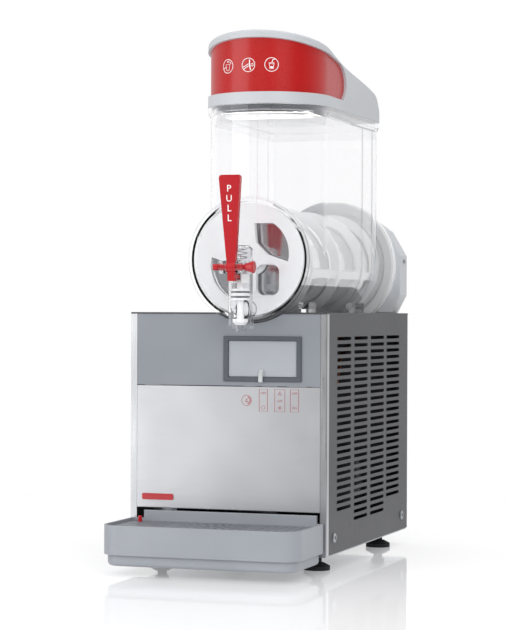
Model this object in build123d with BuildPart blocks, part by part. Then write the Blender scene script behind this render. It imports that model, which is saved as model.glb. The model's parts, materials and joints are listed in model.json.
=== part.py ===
"""Countertop slushie machine with one bowl, built piece by piece as it comes apart on a bench.

Frame: x = 0 at the middle of the cabinet, -Y is the front with the tap, z = 0 is the counter.
All sizes are in millimetres. Each piece is one builder, saved under its own name.
"""

from build123d import *
from math import atan2, cos, degrees, pi, radians, sin
import os

os.makedirs("parts", exist_ok=True)

# ---------------------------------------------------------------- driving dimensions
WIDTH = 260.0  # cabinet, side to side
DEPTH = 390.0  # cabinet, front to back
CABINET_H = 302.0  # cabinet without its feet
FOOT_H = 20.0
FRONT = -143.95  # y of the cabinet's front face; tray to rear screw heads is centred on y = 0
SHEET = 1.5  # side, rear and base sheet
POST_W = 8.5  # stainless corner post, seen from the front

BOWL_R = 75.5  # outside radius of the clear drum, and half the hopper's width
BOWL_WALL = 3.0
AXIS_X = 30.0  # the drum's axis stands to the right of the cabinet's middle
AXIS_ABOVE_DECK = 66.0
DRUM_PROUD = 9.2  # how far the drum's front disc stands out of the cabinet
NOSE_BACK = 75.0  # centre of the hopper's round nose, behind the cabinet's front
HOPPER_BACK = 317.0  # hopper's rear wall, behind the cabinet's front
HOPPER_CORNER = 9.0  # radius of its rear corners, outside
RIM_H = 260.0  # hopper's rim above the deck

EVAPORATOR_R = 56.0
AUGER_R = 70.0
AUGER_PITCH = 116.0

TRAY_PROUD = 112.0  # drip tray in front of the cabinet
TRAY_HALF = 127.0
TRAY_TOP, TRAY_STEP, TRAY_BOTTOM = 62.0, 26.0, 12.0

PLAY = 0.3  # gap between faces that move past each other
RUNNING = 0.05  # radial gap of a pin or a shaft in its hole

# ---------------------------------------------------------------- places worked out from them
HALF = WIDTH / 2
BACK = FRONT + DEPTH
DECK = FOOT_H + CABINET_H
AXIS_Z = DECK + AXIS_ABOVE_DECK
DRUM_FRONT = FRONT - DRUM_PROUD
NOSE_Y = FRONT + NOSE_BACK
HOPPER_REAR = FRONT + HOPPER_BACK
RIM = DECK + RIM_H
SEAL_Y = BACK - 40  # the bowl's rear end, where it meets its seal
HOUSING_Y = BACK - 25  # front face of the gear housing
HOUSING_BACK = BACK + 8
UPPER_Z = DECK - 91.7  # joint between the grey upper panel and the steel one
SLOT_Z = DECK - 247.0  # lower edge of the steel panel
INNER_HALF = HALF - POST_W - PLAY  # half the width between the posts
SIDE_IN = HALF - SHEET  # inner face of a side panel


# ---------------------------------------------------------------- helpers
def keep(piece, label):
    """Name a finished piece and write it."""
    piece.part.label = label
    export_step(piece.part, f"parts/{label}.step")


def facing_front(y):
    """A plane across the machine at y: local x is X and local y is Z; it faces the front."""
    return Plane.XZ.offset(-y)


def facing_right(x):
    """A plane along the machine at x: local x is Y and local y is Z; it faces the right."""
    return Plane.YZ.offset(x)


def level(z):
    return Plane.XY.offset(z)


def block(x0, x1, y0, y1, z0, z1, mode=Mode.ADD):
    """A box between two corners."""
    with Locations(((x0 + x1) / 2, (y0 + y1) / 2, (z0 + z1) / 2)):
        Box(x1 - x0, y1 - y0, z1 - z0, mode=mode)


def drum(x, z, r, y0, y1, mode=Mode.ADD):
    """A cylinder along Y."""
    with Locations((x, (y0 + y1) / 2, z)):
        Cylinder(r, y1 - y0, rotation=(90, 0, 0), mode=mode)


def post(x, y, r, z0, z1, mode=Mode.ADD):
    """A cylinder along Z."""
    with Locations((x, y, (z0 + z1) / 2)):
        Cylinder(r, z1 - z0, mode=mode)


def rod(y, z, r, x0, x1, mode=Mode.ADD):
    """A cylinder along X."""
    with Locations(((x0 + x1) / 2, y, z)):
        Cylinder(r, x1 - x0, rotation=(0, 90, 0), mode=mode)


# ================================================================ base and frame
FEET = [(x, y) for x in (-104, 104) for y in (FRONT + 45, BACK - 60)]
FOOT_STUD_R = 4.0
PAN_HALF = SIDE_IN - PLAY
PAN_WALL_H = 30.0
SILL_Z = 55.0  # ledge that the drip tray's tongue lies on
SILL_BACK = FRONT + 28
SCREW_R = 1.6
REAR_SCREWS = [(x, z) for x in (-118, 118) for z in (35, 175, 310)]
SIDE_SCREWS = [(y, FOOT_H + 22) for y in (FRONT + 31.5, FRONT + 356)]

with BuildPart() as base_pan:
    block(-PAN_HALF, PAN_HALF, FRONT + 2, BACK - 2, FOOT_H, FOOT_H + PAN_WALL_H)
    block(-PAN_HALF + SHEET, PAN_HALF - SHEET, FRONT + 3.5, BACK - 3.5,
          FOOT_H + SHEET, FOOT_H + PAN_WALL_H, mode=Mode.SUBTRACT)
    block(-INNER_HALF, INNER_HALF, FRONT + 2, FRONT + 3.5, FOOT_H + PAN_WALL_H, SILL_Z)
    block(-INNER_HALF, INNER_HALF, FRONT + 2, SILL_BACK, SILL_Z - SHEET, SILL_Z)
    for x, y in FEET:
        post(x, y, FOOT_STUD_R + 0.3, FOOT_H, FOOT_H + SHEET, mode=Mode.SUBTRACT)
    for y, z in SIDE_SCREWS:
        rod(y, z, SCREW_R, -PAN_HALF, PAN_HALF, mode=Mode.SUBTRACT)
    for x, z in REAR_SCREWS:
        drum(x, z, SCREW_R, BACK - 5, BACK, mode=Mode.SUBTRACT)
keep(base_pan, "base_pan")

with BuildPart() as feet:
    for x, y in FEET:
        post(x, y, 16.5, 0, 5)
        with Locations((x, y, 5 + 2)):
            Cone(16.5, 9, 4)
        post(x, y, 6, 9, FOOT_H - 4)
        post(x, y, 9, FOOT_H - 4, FOOT_H)
        post(x, y, FOOT_STUD_R, FOOT_H, FOOT_H + 5)
keep(feet, "feet")


def corner_post(side):
    """Stainless angle at a front corner; side is +1 for the right one."""
    with BuildPart() as angle:
        with BuildSketch(level(FOOT_H + 2)):
            with BuildLine():
                Polyline(
                    (side * (HALF - POST_W), FRONT),
                    (side * HALF, FRONT),
                    (side * HALF, FRONT + 9),
                    (side * (HALF - 1.2), FRONT + 9),
                    (side * (HALF - 1.2), FRONT + 1.2),
                    (side * (HALF - POST_W), FRONT + 1.2),
                    close=True,
                )
            make_face()
            fillet(vertices().sort_by_distance((side * HALF, FRONT))[0], 1.1)
        extrude(amount=DECK - 2 - (FOOT_H + 2))
    return angle


keep(corner_post(-1), "left_corner_post")
keep(corner_post(1), "right_corner_post")

# ================================================================ front panels
PANEL_T = 3.0
WINDOW = (-2.6, 94.6, DECK - 84.0, DECK - 31.5)  # hole behind the bezel: x, x, z, z

with BuildPart() as upper_front_panel:
    block(-INNER_HALF, INNER_HALF, FRONT, FRONT + PANEL_T, UPPER_Z, DECK - 2)
    block(-INNER_HALF, INNER_HALF, FRONT + PANEL_T, FRONT + 12, UPPER_Z, UPPER_Z + 2)
    for x in (-INNER_HALF, INNER_HALF - 2):
        block(x, x + 2, FRONT + PANEL_T, FRONT + 12, UPPER_Z + 2, DECK - 2)
    drum(AXIS_X, AXIS_Z, BOWL_R + 4.2, FRONT, FRONT + 12, mode=Mode.SUBTRACT)
    block(*WINDOW[:2], FRONT, FRONT + PANEL_T, *WINDOW[2:], mode=Mode.SUBTRACT)
    fillet(edges().filter_by(Axis.X).group_by(Axis.Y)[0].sort_by(Axis.Z)[0], 0.8)
keep(upper_front_panel, "upper_front_panel")

with BuildPart() as lower_front_panel:
    block(-INNER_HALF, INNER_HALF, FRONT, FRONT + 1.2, SLOT_Z, UPPER_Z - 0.6)
    block(-INNER_HALF, INNER_HALF, FRONT + 1.2, FRONT + 12, SLOT_Z, SLOT_Z + 1.2)
    block(-INNER_HALF, INNER_HALF, FRONT + 1.2, FRONT + 12, UPPER_Z - 1.8, UPPER_Z - 0.6)
    fillet(edges().filter_by(Axis.X).group_by(Axis.Y)[0], 0.9)
keep(lower_front_panel, "lower_front_panel")

with BuildPart() as badge:
    with BuildSketch(facing_front(FRONT)):
        with Locations((-93, DECK - 233)):
            RectangleRounded(42, 8, 2)
    extrude(amount=0.8)
keep(badge, "badge")

# ================================================================ side, rear and top panels
LOUVRE_PITCH = 8.9
LOUVRE_H, LOUVRE_CORNER = 4.5, 1.8
LOUVRE_TOP = DECK - 32.5
# each column: middle along the depth, length of its slots, how many slots
LOUVRES = [(74.5, 61, 25), (151.5, 61, 27), (230.5, 65, 27), (309.5, 65, 25)]


def side_panel(side):
    """Painted sheet with four columns of slots; side is +1 for the right one."""
    outer, inner = side * HALF, side * SIDE_IN
    tuck = side * (SIDE_IN - 10)
    with BuildPart() as panel:
        block(*sorted((outer, inner)), FRONT + 9 + PLAY, BACK - 2, FOOT_H + 2, DECK - 2)
        for z in (FOOT_H + PAN_WALL_H + 2, DECK - 2 - SHEET):
            block(*sorted((inner, tuck)), FRONT + 14, BACK - 6, z, z + SHEET)
        with BuildSketch(facing_right(min(outer, inner))):
            for middle, length, count in LOUVRES:
                for row in range(count):
                    with Locations((FRONT + middle, LOUVRE_TOP - row * LOUVRE_PITCH)):
                        RectangleRounded(length, LOUVRE_H, LOUVRE_CORNER)
        extrude(amount=SHEET, mode=Mode.SUBTRACT)
        for y, z in SIDE_SCREWS:
            rod(y, z, SCREW_R, min(outer, inner), max(outer, inner), mode=Mode.SUBTRACT)
    return panel


keep(side_panel(-1), "left_side_panel")
keep(side_panel(1), "right_side_panel")

INLET_X, INLET_Z = -85.0, 70.0

with BuildPart() as rear_panel:
    block(-PAN_HALF, PAN_HALF, BACK - SHEET, BACK, FOOT_H + 2, DECK - 2)
    with BuildSketch(facing_front(BACK)):
        for x in (-88, -22):
            for row in range(14):
                with Locations((x, 110 + row * 12)):
                    SlotOverall(54, 4.5)
    extrude(amount=SHEET, mode=Mode.SUBTRACT)
    block(INLET_X - 14, INLET_X + 14, BACK - SHEET, BACK, INLET_Z - 10.5, INLET_Z + 10.5,
          mode=Mode.SUBTRACT)
    for x, z in REAR_SCREWS:
        drum(x, z, SCREW_R, BACK - SHEET, BACK, mode=Mode.SUBTRACT)
keep(rear_panel, "rear_panel")

GUTTER_R = BOWL_R + 1.3  # gutter in the deck that the drum lies over
GUTTER_T = 2.0
SEAL_R = 89.0  # the bowl's rear seal and the flange behind it
WELL_R = SEAL_R + 1.5  # deeper end of the gutter, round the flange
WELL_Y = SEAL_Y - 4
LINE_HOLE = (36, 74, HOUSING_Y + 4, HOUSING_Y + 16)  # refrigerant pipes rise here

with BuildPart() as top_deck:
    block(-HALF, HALF, FRONT - 0.6, BACK, DECK - 2, DECK)
    drum(AXIS_X, AXIS_Z, GUTTER_R + GUTTER_T, FRONT - 0.6, WELL_Y)
    drum(AXIS_X, AXIS_Z, WELL_R + GUTTER_T, WELL_Y - GUTTER_T, HOUSING_Y + 2)
    block(-HALF, HALF, FRONT - 2, BACK + 2, DECK, AXIS_Z + WELL_R + 10, mode=Mode.SUBTRACT)
    drum(AXIS_X, AXIS_Z, GUTTER_R, FRONT - 0.6, WELL_Y, mode=Mode.SUBTRACT)
    drum(AXIS_X, AXIS_Z, WELL_R, WELL_Y, HOUSING_Y, mode=Mode.SUBTRACT)
    block(*LINE_HOLE, DECK - 80, DECK, mode=Mode.SUBTRACT)
    fillet(edges().filter_by(Axis.Y).group_by(Axis.Z)[-1].sort_by(Axis.X)[0], 1.2)
    fillet(edges().filter_by(Axis.Y).group_by(Axis.Z)[-1].sort_by(Axis.X)[-1], 1.2)
keep(top_deck, "top_deck")

# ================================================================ controls behind the flap
BEZEL = (-5.0, 97.0, DECK - 86.0, DECK - 29.5)
FLAP = (1.8, 90.6, DECK - 79.8, DECK - 35.6)
BEZEL_PROUD = 2.5
FLAP_T = 2.2
FLAP_FRONT = FRONT - 0.7
FLAP_PIN_Y = FLAP_FRONT + FLAP_T / 2
FLAP_PIN_Z = FLAP[3] - 1.6
FLAP_PIN_R = 0.6

with BuildPart() as control_bezel:
    with BuildSketch(facing_front(FRONT)):
        with Locations(((BEZEL[0] + BEZEL[1]) / 2, (BEZEL[2] + BEZEL[3]) / 2)):
            RectangleRounded(BEZEL[1] - BEZEL[0], BEZEL[3] - BEZEL[2], 1.6)
    extrude(amount=BEZEL_PROUD)
    fillet(faces().sort_by(Axis.Y)[0].edges(), 0.8)
    block(FLAP[0] - 4, FLAP[1] + 3.6, FRONT, FRONT + 6, FLAP[2] - 3.6, FLAP[3] + 3.6)
    block(FLAP[0] - 0.5, FLAP[1] + 0.5, FRONT - 3, FRONT + 6, FLAP[2] - 0.5, FLAP[3] + 0.5,
          mode=Mode.SUBTRACT)
    rod(FLAP_PIN_Y, FLAP_PIN_Z, FLAP_PIN_R, FLAP[0] - 3, FLAP[1] + 2.6, mode=Mode.SUBTRACT)
keep(control_bezel, "control_bezel")

with BuildPart() as flap_hinge_pin:
    rod(FLAP_PIN_Y, FLAP_PIN_Z, FLAP_PIN_R, FLAP[0] - 3, FLAP[1] + 2.6)
keep(flap_hinge_pin, "flap_hinge_pin")

with BuildPart() as control_flap:
    block(FLAP[0], FLAP[1], FLAP_FRONT, FLAP_FRONT + FLAP_T, FLAP[2], FLAP[3])
    fillet(edges().filter_by(Axis.Y), 1.0)
    rod(FLAP_PIN_Y, FLAP_PIN_Z, FLAP_PIN_R + RUNNING, FLAP[0], FLAP[1], mode=Mode.SUBTRACT)
keep(control_flap, "control_flap")

TAB_X = 45.0
with BuildPart() as flap_tab:
    with BuildSketch(facing_right(TAB_X - 2.5)):
        with BuildLine():
            Polyline(
                (FLAP_FRONT, DECK - 71),
                (FLAP_FRONT, DECK - 78.5),
                (FRONT - 3.2, DECK - 79.4),
                (FRONT - 3.2, DECK - 86.5),
                (FRONT - 6.0, DECK - 86.5),
                (FRONT - 5.4, DECK - 77),
                (FLAP_FRONT - 1.4, DECK - 71),
                close=True,
            )
        make_face()
    extrude(amount=5)
    fillet(edges().filter_by(Axis.X).sort_by(Axis.Z)[0], 0.8)
keep(flap_tab, "flap_tab")

PLATE_Y = FRONT + 14.0  # front face of the recessed switch plate
SWITCH_W, SWITCH_H, SWITCH_D = 13.0, 28.0, 24.0
ROCKER_W, ROCKER_H = 11.0, 23.0
SWITCHES = {"light_rocker": 44.0, "mode_rocker": 61.5, "power_rocker": 79.0}
SWITCH_Z = DECK - 57.5
ROCKER_TILT = 8.0
KNOB_X = 19.0
KNOB_SHAFT_R = 3.0
KNOB_BACK = PLATE_Y - 1.0

with BuildPart() as switch_plate:
    block(-6, 98, PLATE_Y, PLATE_Y + SHEET, SWITCH_Z - 30, SWITCH_Z + 30)
    for x in SWITCHES.values():
        block(x - SWITCH_W / 2, x + SWITCH_W / 2, PLATE_Y, PLATE_Y + SHEET,
              SWITCH_Z - SWITCH_H / 2, SWITCH_Z + SWITCH_H / 2, mode=Mode.SUBTRACT)
    drum(KNOB_X, SWITCH_Z, 4.2, PLATE_Y, PLATE_Y + SHEET, mode=Mode.SUBTRACT)
keep(switch_plate, "switch_plate")

ROCKER_PIVOT_Y = PLATE_Y + 3.0
with BuildPart() as switch_bodies:
    for x in SWITCHES.values():
        block(x - SWITCH_W / 2, x + SWITCH_W / 2, PLATE_Y - 1, PLATE_Y + SWITCH_D,
              SWITCH_Z - SWITCH_H / 2, SWITCH_Z + SWITCH_H / 2)
        block(x - ROCKER_W / 2 - PLAY, x + ROCKER_W / 2 + PLAY, PLATE_Y - 1, PLATE_Y + 11,
              SWITCH_Z - ROCKER_H / 2 - 1, SWITCH_Z + ROCKER_H / 2 + 1, mode=Mode.SUBTRACT)
        rod(ROCKER_PIVOT_Y, SWITCH_Z, 1.2, x - 6.3, x + 6.3, mode=Mode.SUBTRACT)
    block(KNOB_X - 9, KNOB_X + 9, PLATE_Y + SHEET, PLATE_Y + 14, SWITCH_Z - 9, SWITCH_Z + 9)
    drum(KNOB_X, SWITCH_Z, KNOB_SHAFT_R + RUNNING, PLATE_Y, PLATE_Y + 10, mode=Mode.SUBTRACT)
keep(switch_bodies, "switch_bodies")


def rocker(x, tilt):
    """A rocker: two shallow faces that meet at its pivot, tilted to where it rests."""
    y, z = ROCKER_PIVOT_Y, SWITCH_Z
    h = ROCKER_H / 2
    with BuildPart() as cap:
        with BuildSketch(facing_right(x - ROCKER_W / 2)):
            with BuildLine():
                Polyline((y + 2, z - h), (y - 5.2, z - h), (y - 3.6, z), (y - 5.2, z + h), (y + 2, z + h))
                ThreePointArc((y + 2, z + h), (y + 4, z), (y + 2, z - h))
            make_face()
        extrude(amount=ROCKER_W)
        rod(y, z, 1.2 - RUNNING, x - 6.2, x + 6.2)
    turned = cap.part.rotate(Axis((x, y, z), (1, 0, 0)), tilt)
    with BuildPart() as placed:
        add(turned)
    return placed


keep(rocker(SWITCHES["light_rocker"], -ROCKER_TILT), "light_rocker")
keep(rocker(SWITCHES["mode_rocker"], 0), "mode_rocker")
keep(rocker(SWITCHES["power_rocker"], -ROCKER_TILT), "power_rocker")

with BuildPart() as density_knob:
    drum(KNOB_X, SWITCH_Z, 9.5, KNOB_BACK - 9, KNOB_BACK)
    with BuildSketch(facing_front(KNOB_BACK - 9)):
        with Locations((KNOB_X, SWITCH_Z)):
            with PolarLocations(10.2, 16):
                Circle(1.1)
    extrude(amount=-9, mode=Mode.SUBTRACT)
    block(KNOB_X - 0.6, KNOB_X + 0.6, KNOB_BACK - 9, KNOB_BACK - 8.2, SWITCH_Z, SWITCH_Z + 9,
          mode=Mode.SUBTRACT)
    drum(KNOB_X, SWITCH_Z, KNOB_SHAFT_R, KNOB_BACK, PLATE_Y + 9)
keep(density_knob, "density_knob")

with BuildPart() as power_inlet:
    block(INLET_X - 14, INLET_X + 14, BACK - 20, BACK, INLET_Z - 10.5, INLET_Z + 10.5)
    block(INLET_X - 17, INLET_X + 17, BACK, BACK + 2, INLET_Z - 13, INLET_Z + 13)
    block(INLET_X - 12.2, INLET_X + 12.2, BACK - 15, BACK + 2, INLET_Z - 8.4, INLET_Z + 8.4,
          mode=Mode.SUBTRACT)
    for dx, dz in ((-7, -2), (7, -2), (0, 2)):
        block(INLET_X + dx - 1, INLET_X + dx + 1, BACK - 15, BACK - 3,
              INLET_Z + dz - 2, INLET_Z + dz + 2)
keep(power_inlet, "power_inlet")

with BuildPart() as control_board:
    block(-112, -22, FRONT + 16, FRONT + 17.6, 242, 306)
    for x, z, w, h, d in ((-98, 290, 18, 16, 14), (-72, 288, 22, 14, 10), (-44, 284, 16, 20, 16),
                          (-92, 260, 14, 14, 8), (-60, 258, 26, 10, 3)):
        block(x - w / 2, x + w / 2, FRONT + 17.6, FRONT + 17.6 + d, z - h / 2, z + h / 2)
    for x in (-108, -26):
        for z in (246, 302):
            drum(x, z, 2.5, FRONT + PANEL_T, FRONT + 16)
keep(control_board, "control_board")

# ================================================================ rear gear housing and its drive
HOUSING = [(83, 0), (96, 25), (96, 80), (76, 114), (55, 129), (30, 140)]  # right half, from the deck
HOUSING_T = 2.5
MODULE = 1.5
GEAR_TEETH, PINION_TEETH = 60, 12
CENTRES = MODULE * (GEAR_TEETH + PINION_TEETH) / 2
PINION_X = AXIS_X - CENTRES
GEAR_Y0, GEAR_Y1 = HOUSING_Y + 21, HOUSING_Y + 28
SHAFT_R = 6.0
PIPE_R = 3.5
PIPE_HOLES = [(AXIS_X + 46, AXIS_Z - 8), (AXIS_X + 37, AXIS_Z - 8)]  # x, z of the two pipes


def housing_outline(inset):
    """Outline of the many-sided housing, as points (x, z), drawn in by inset."""
    scale_x = (96 - inset) / 96
    right = [(AXIS_X + px * scale_x, DECK + inset + pz * (140 - 2 * inset) / 140) for px, pz in HOUSING]
    left = [(2 * AXIS_X - px, pz) for px, pz in reversed(right)]
    return right + left


with BuildPart() as gear_housing:
    with BuildSketch(facing_front(HOUSING_Y)):
        with BuildLine():
            Polyline(*housing_outline(0), close=True)
        make_face()
    extrude(amount=-(HOUSING_BACK - 2 - HOUSING_Y))
    chamfer(faces().sort_by(Axis.Y)[0].edges(), 1.5)
    with BuildSketch(facing_front(HOUSING_Y + HOUSING_T)):
        with BuildLine():
            Polyline(*housing_outline(HOUSING_T), close=True)
        make_face()
    extrude(amount=-(HOUSING_BACK - HOUSING_Y), mode=Mode.SUBTRACT)
    drum(AXIS_X, AXIS_Z, SHAFT_R + 4, HOUSING_Y, HOUSING_Y + 5, mode=Mode.SUBTRACT)
    for x, z in PIPE_HOLES:
        drum(x, z, PIPE_R, HOUSING_Y, HOUSING_Y + 5, mode=Mode.SUBTRACT)
    block(*LINE_HOLE, DECK, DECK + 5, mode=Mode.SUBTRACT)
    for side in (-1, 1):
        rod(HOUSING_Y + 16, DECK + 72, SCREW_R, *sorted((AXIS_X + side * 90, AXIS_X + side * 97)),
            mode=Mode.SUBTRACT)
keep(gear_housing, "gear_housing")

COVER_SCREWS = [(AXIS_X + sx * 86, DECK + h) for sx in (-1, 1) for h in (30, 76)]
with BuildPart() as gear_housing_cover:
    with BuildSketch(facing_front(HOUSING_BACK - 2)):
        with BuildLine():
            Polyline(*housing_outline(0), close=True)
        make_face()
    extrude(amount=-2)
    chamfer(faces().sort_by(Axis.Y)[-1].edges(), 0.8)
    for x, z in COVER_SCREWS:
        drum(x, z, SCREW_R, HOUSING_BACK - 2, HOUSING_BACK, mode=Mode.SUBTRACT)
keep(gear_housing_cover, "gear_housing_cover")


SCREW_HEAD = 1.9  # height of a screw's head


def screw_head(centre, outward, head_r=3.6):
    """A pan-head screw along outward: a short shank in its hole and a domed head with a hexagon socket."""
    plane = Plane(origin=centre, z_dir=outward)
    with BuildPart(plane) as screw:
        Cylinder(SCREW_R, 6, align=(Align.CENTER, Align.CENTER, Align.MAX))
        Cylinder(head_r, SCREW_HEAD, align=(Align.CENTER, Align.CENTER, Align.MIN))
        fillet(screw.edges().group_by(SortBy.LENGTH)[-1].sort_by_distance(
            plane.offset(5).origin)[0], 1.2)
        with BuildSketch(plane.offset(SCREW_HEAD)):
            RegularPolygon(head_r * 0.45, 6)
        extrude(amount=-1.3, mode=Mode.SUBTRACT)
    return screw.part


with BuildPart() as panel_screws:
    for side in (-1, 1):
        for y, z in SIDE_SCREWS:
            add(screw_head((side * HALF, y, z), (side, 0, 0), head_r=6.2))
        add(screw_head((AXIS_X + side * 96, HOUSING_Y + 16, DECK + 72), (side, 0, 0)))
    for x, z in REAR_SCREWS:
        add(screw_head((x, BACK, z), (0, 1, 0)))
    for x, z in COVER_SCREWS:
        add(screw_head((x, HOUSING_BACK, z), (0, 1, 0)))
keep(panel_screws, "panel_screws")

with BuildPart() as rear_flange:
    drum(AXIS_X, AXIS_Z, SEAL_R, SEAL_Y + 7, HOUSING_Y)
    drum(AXIS_X, AXIS_Z, 66, SEAL_Y - 8, SEAL_Y + 7)
    drum(AXIS_X, AXIS_Z, EVAPORATOR_R, SEAL_Y - 8, HOUSING_Y, mode=Mode.SUBTRACT)
keep(rear_flange, "rear_flange")

with BuildPart() as bowl_gasket:
    drum(AXIS_X, AXIS_Z, SEAL_R - 1, SEAL_Y + PLAY, SEAL_Y + 7)
    drum(AXIS_X, AXIS_Z, BOWL_R - BOWL_WALL - PLAY, SEAL_Y - 6, SEAL_Y + PLAY)
    fillet(edges().filter_by(GeomType.CIRCLE).group_by(SortBy.LENGTH)[-1], 2)
    drum(AXIS_X, AXIS_Z, 66, SEAL_Y - 6, SEAL_Y + 7, mode=Mode.SUBTRACT)
keep(bowl_gasket, "bowl_gasket")

DRUM_END = FRONT + 12  # front face of the freezing drum
with BuildPart() as evaporator_cylinder:
    drum(AXIS_X, AXIS_Z, EVAPORATOR_R, DRUM_END, HOUSING_Y)
    fillet(edges().filter_by(GeomType.CIRCLE).sort_by(Axis.Y)[0], 4)
    drum(AXIS_X, AXIS_Z, EVAPORATOR_R - 1.5, DRUM_END + 2.5, HOUSING_Y, mode=Mode.SUBTRACT)
    drum(AXIS_X, AXIS_Z, SHAFT_R + 4, DRUM_END, DRUM_END + 4, mode=Mode.SUBTRACT)
keep(evaporator_cylinder, "evaporator_cylinder")

COIL_R = 46.0
COIL_Y0, COIL_Y1 = DRUM_END + 16, HOUSING_Y - 30
COIL_TURNS = 14
with BuildPart() as evaporator_coil:
    with BuildLine() as coil_line:
        Helix((COIL_Y1 - COIL_Y0) / COIL_TURNS, COIL_Y1 - COIL_Y0, COIL_R,
              center=(AXIS_X, COIL_Y0, AXIS_Z), direction=(0, 1, 0))
    with BuildSketch(Plane(origin=coil_line.line @ 0, z_dir=coil_line.line % 0)):
        Circle(PIPE_R)
    sweep()
keep(evaporator_coil, "evaporator_coil")

with BuildPart() as shaft_bushings:
    for y0, y1 in ((DRUM_END, DRUM_END + 8), (HOUSING_Y, HOUSING_Y + 7)):
        drum(AXIS_X, AXIS_Z, SHAFT_R + 4, y0, y1)
        drum(AXIS_X, AXIS_Z, SHAFT_R + RUNNING, y0, y1, mode=Mode.SUBTRACT)
keep(shaft_bushings, "shaft_bushings")

with BuildPart() as shaft_seal:
    drum(AXIS_X, AXIS_Z, 13, DRUM_END - 2.6, DRUM_END)
    fillet(edges().filter_by(GeomType.CIRCLE).sort_by(Axis.Y)[0], 1.5)
    drum(AXIS_X, AXIS_Z, SHAFT_R + RUNNING, DRUM_END - 3, DRUM_END, mode=Mode.SUBTRACT)
keep(shaft_seal, "shaft_seal")

AUGER_FRONT = FRONT - 3
SHAFT_FLAT = 4.6
with BuildPart() as drive_shaft:
    drum(AXIS_X, AXIS_Z, SHAFT_R, AUGER_FRONT + 2, GEAR_Y1)
    for side in (-1, 1):
        block(*sorted((AXIS_X + side * SHAFT_FLAT, AXIS_X + side * 7)), AUGER_FRONT + 2,
              DRUM_END - 4, AXIS_Z - 7, AXIS_Z + 7, mode=Mode.SUBTRACT)
keep(drive_shaft, "drive_shaft")


def spur_gear(x, z, teeth, phase, bore_r):
    """A spur gear with slim straight-flanked teeth; phase turns it into mesh."""
    pitch_r = MODULE * teeth / 2
    root_r, tip_r = pitch_r - 1.3 * MODULE, pitch_r + 0.85 * MODULE
    foot_r = root_r - 0.6
    tall, foot_w, tip_w = tip_r - foot_r, 0.42 * MODULE * pi, 0.2 * MODULE * pi
    flank = degrees(atan2(tall, (foot_w - tip_w) / 2))
    with BuildPart() as gear:
        drum(x, z, root_r, GEAR_Y0, GEAR_Y1)
        with BuildSketch(facing_front(GEAR_Y1)):
            with Locations((x, z)):
                with PolarLocations((foot_r + tip_r) / 2, teeth, start_angle=phase):
                    Trapezoid(foot_w, tall, flank, rotation=-90)
        extrude(amount=GEAR_Y1 - GEAR_Y0)
        drum(x, z, bore_r, GEAR_Y0, GEAR_Y1, mode=Mode.SUBTRACT)
    return gear


keep(spur_gear(AXIS_X, AXIS_Z, GEAR_TEETH, 0, SHAFT_R), "drive_gear")
MOTOR_SHAFT_R = 3.0
pinion = spur_gear(PINION_X, AXIS_Z, PINION_TEETH, 180 / PINION_TEETH, MOTOR_SHAFT_R - 1)
with BuildPart() as motor_pinion:
    add(pinion.part)
    drum(PINION_X, AXIS_Z, MOTOR_SHAFT_R, GEAR_Y0 - 10, GEAR_Y1)
keep(motor_pinion, "motor_pinion")

with BuildPart() as auger_motor:
    drum(PINION_X, AXIS_Z, 28, HOUSING_Y + 4, GEAR_Y0 - 2)
    fillet(edges().filter_by(GeomType.CIRCLE), 2)
    drum(PINION_X, AXIS_Z, MOTOR_SHAFT_R + RUNNING, GEAR_Y0 - 12, GEAR_Y0 - 2, mode=Mode.SUBTRACT)
    for dx, dz in ((-22, 22), (-22, -22), (-31, 0)):
        drum(PINION_X + dx, AXIS_Z + dz, 4, HOUSING_Y + HOUSING_T, HOUSING_Y + 8)
keep(auger_motor, "auger_motor")

# ================================================================ auger
BLADE_IN = EVAPORATOR_R + 1.5
BLADE_T = 3.5
BLADE_Y0, BLADE_Y1 = AUGER_FRONT + 6, SEAL_Y - 14
HUB_R = 20.0
SECTOR = ((50, -3), (23, 6), (8, 21), (6, 45), (30, 45))  # straight sides of a big opening in the plate
SECTOR_ARC = ((30, 45), (46, 28), (50, -3))

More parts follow.
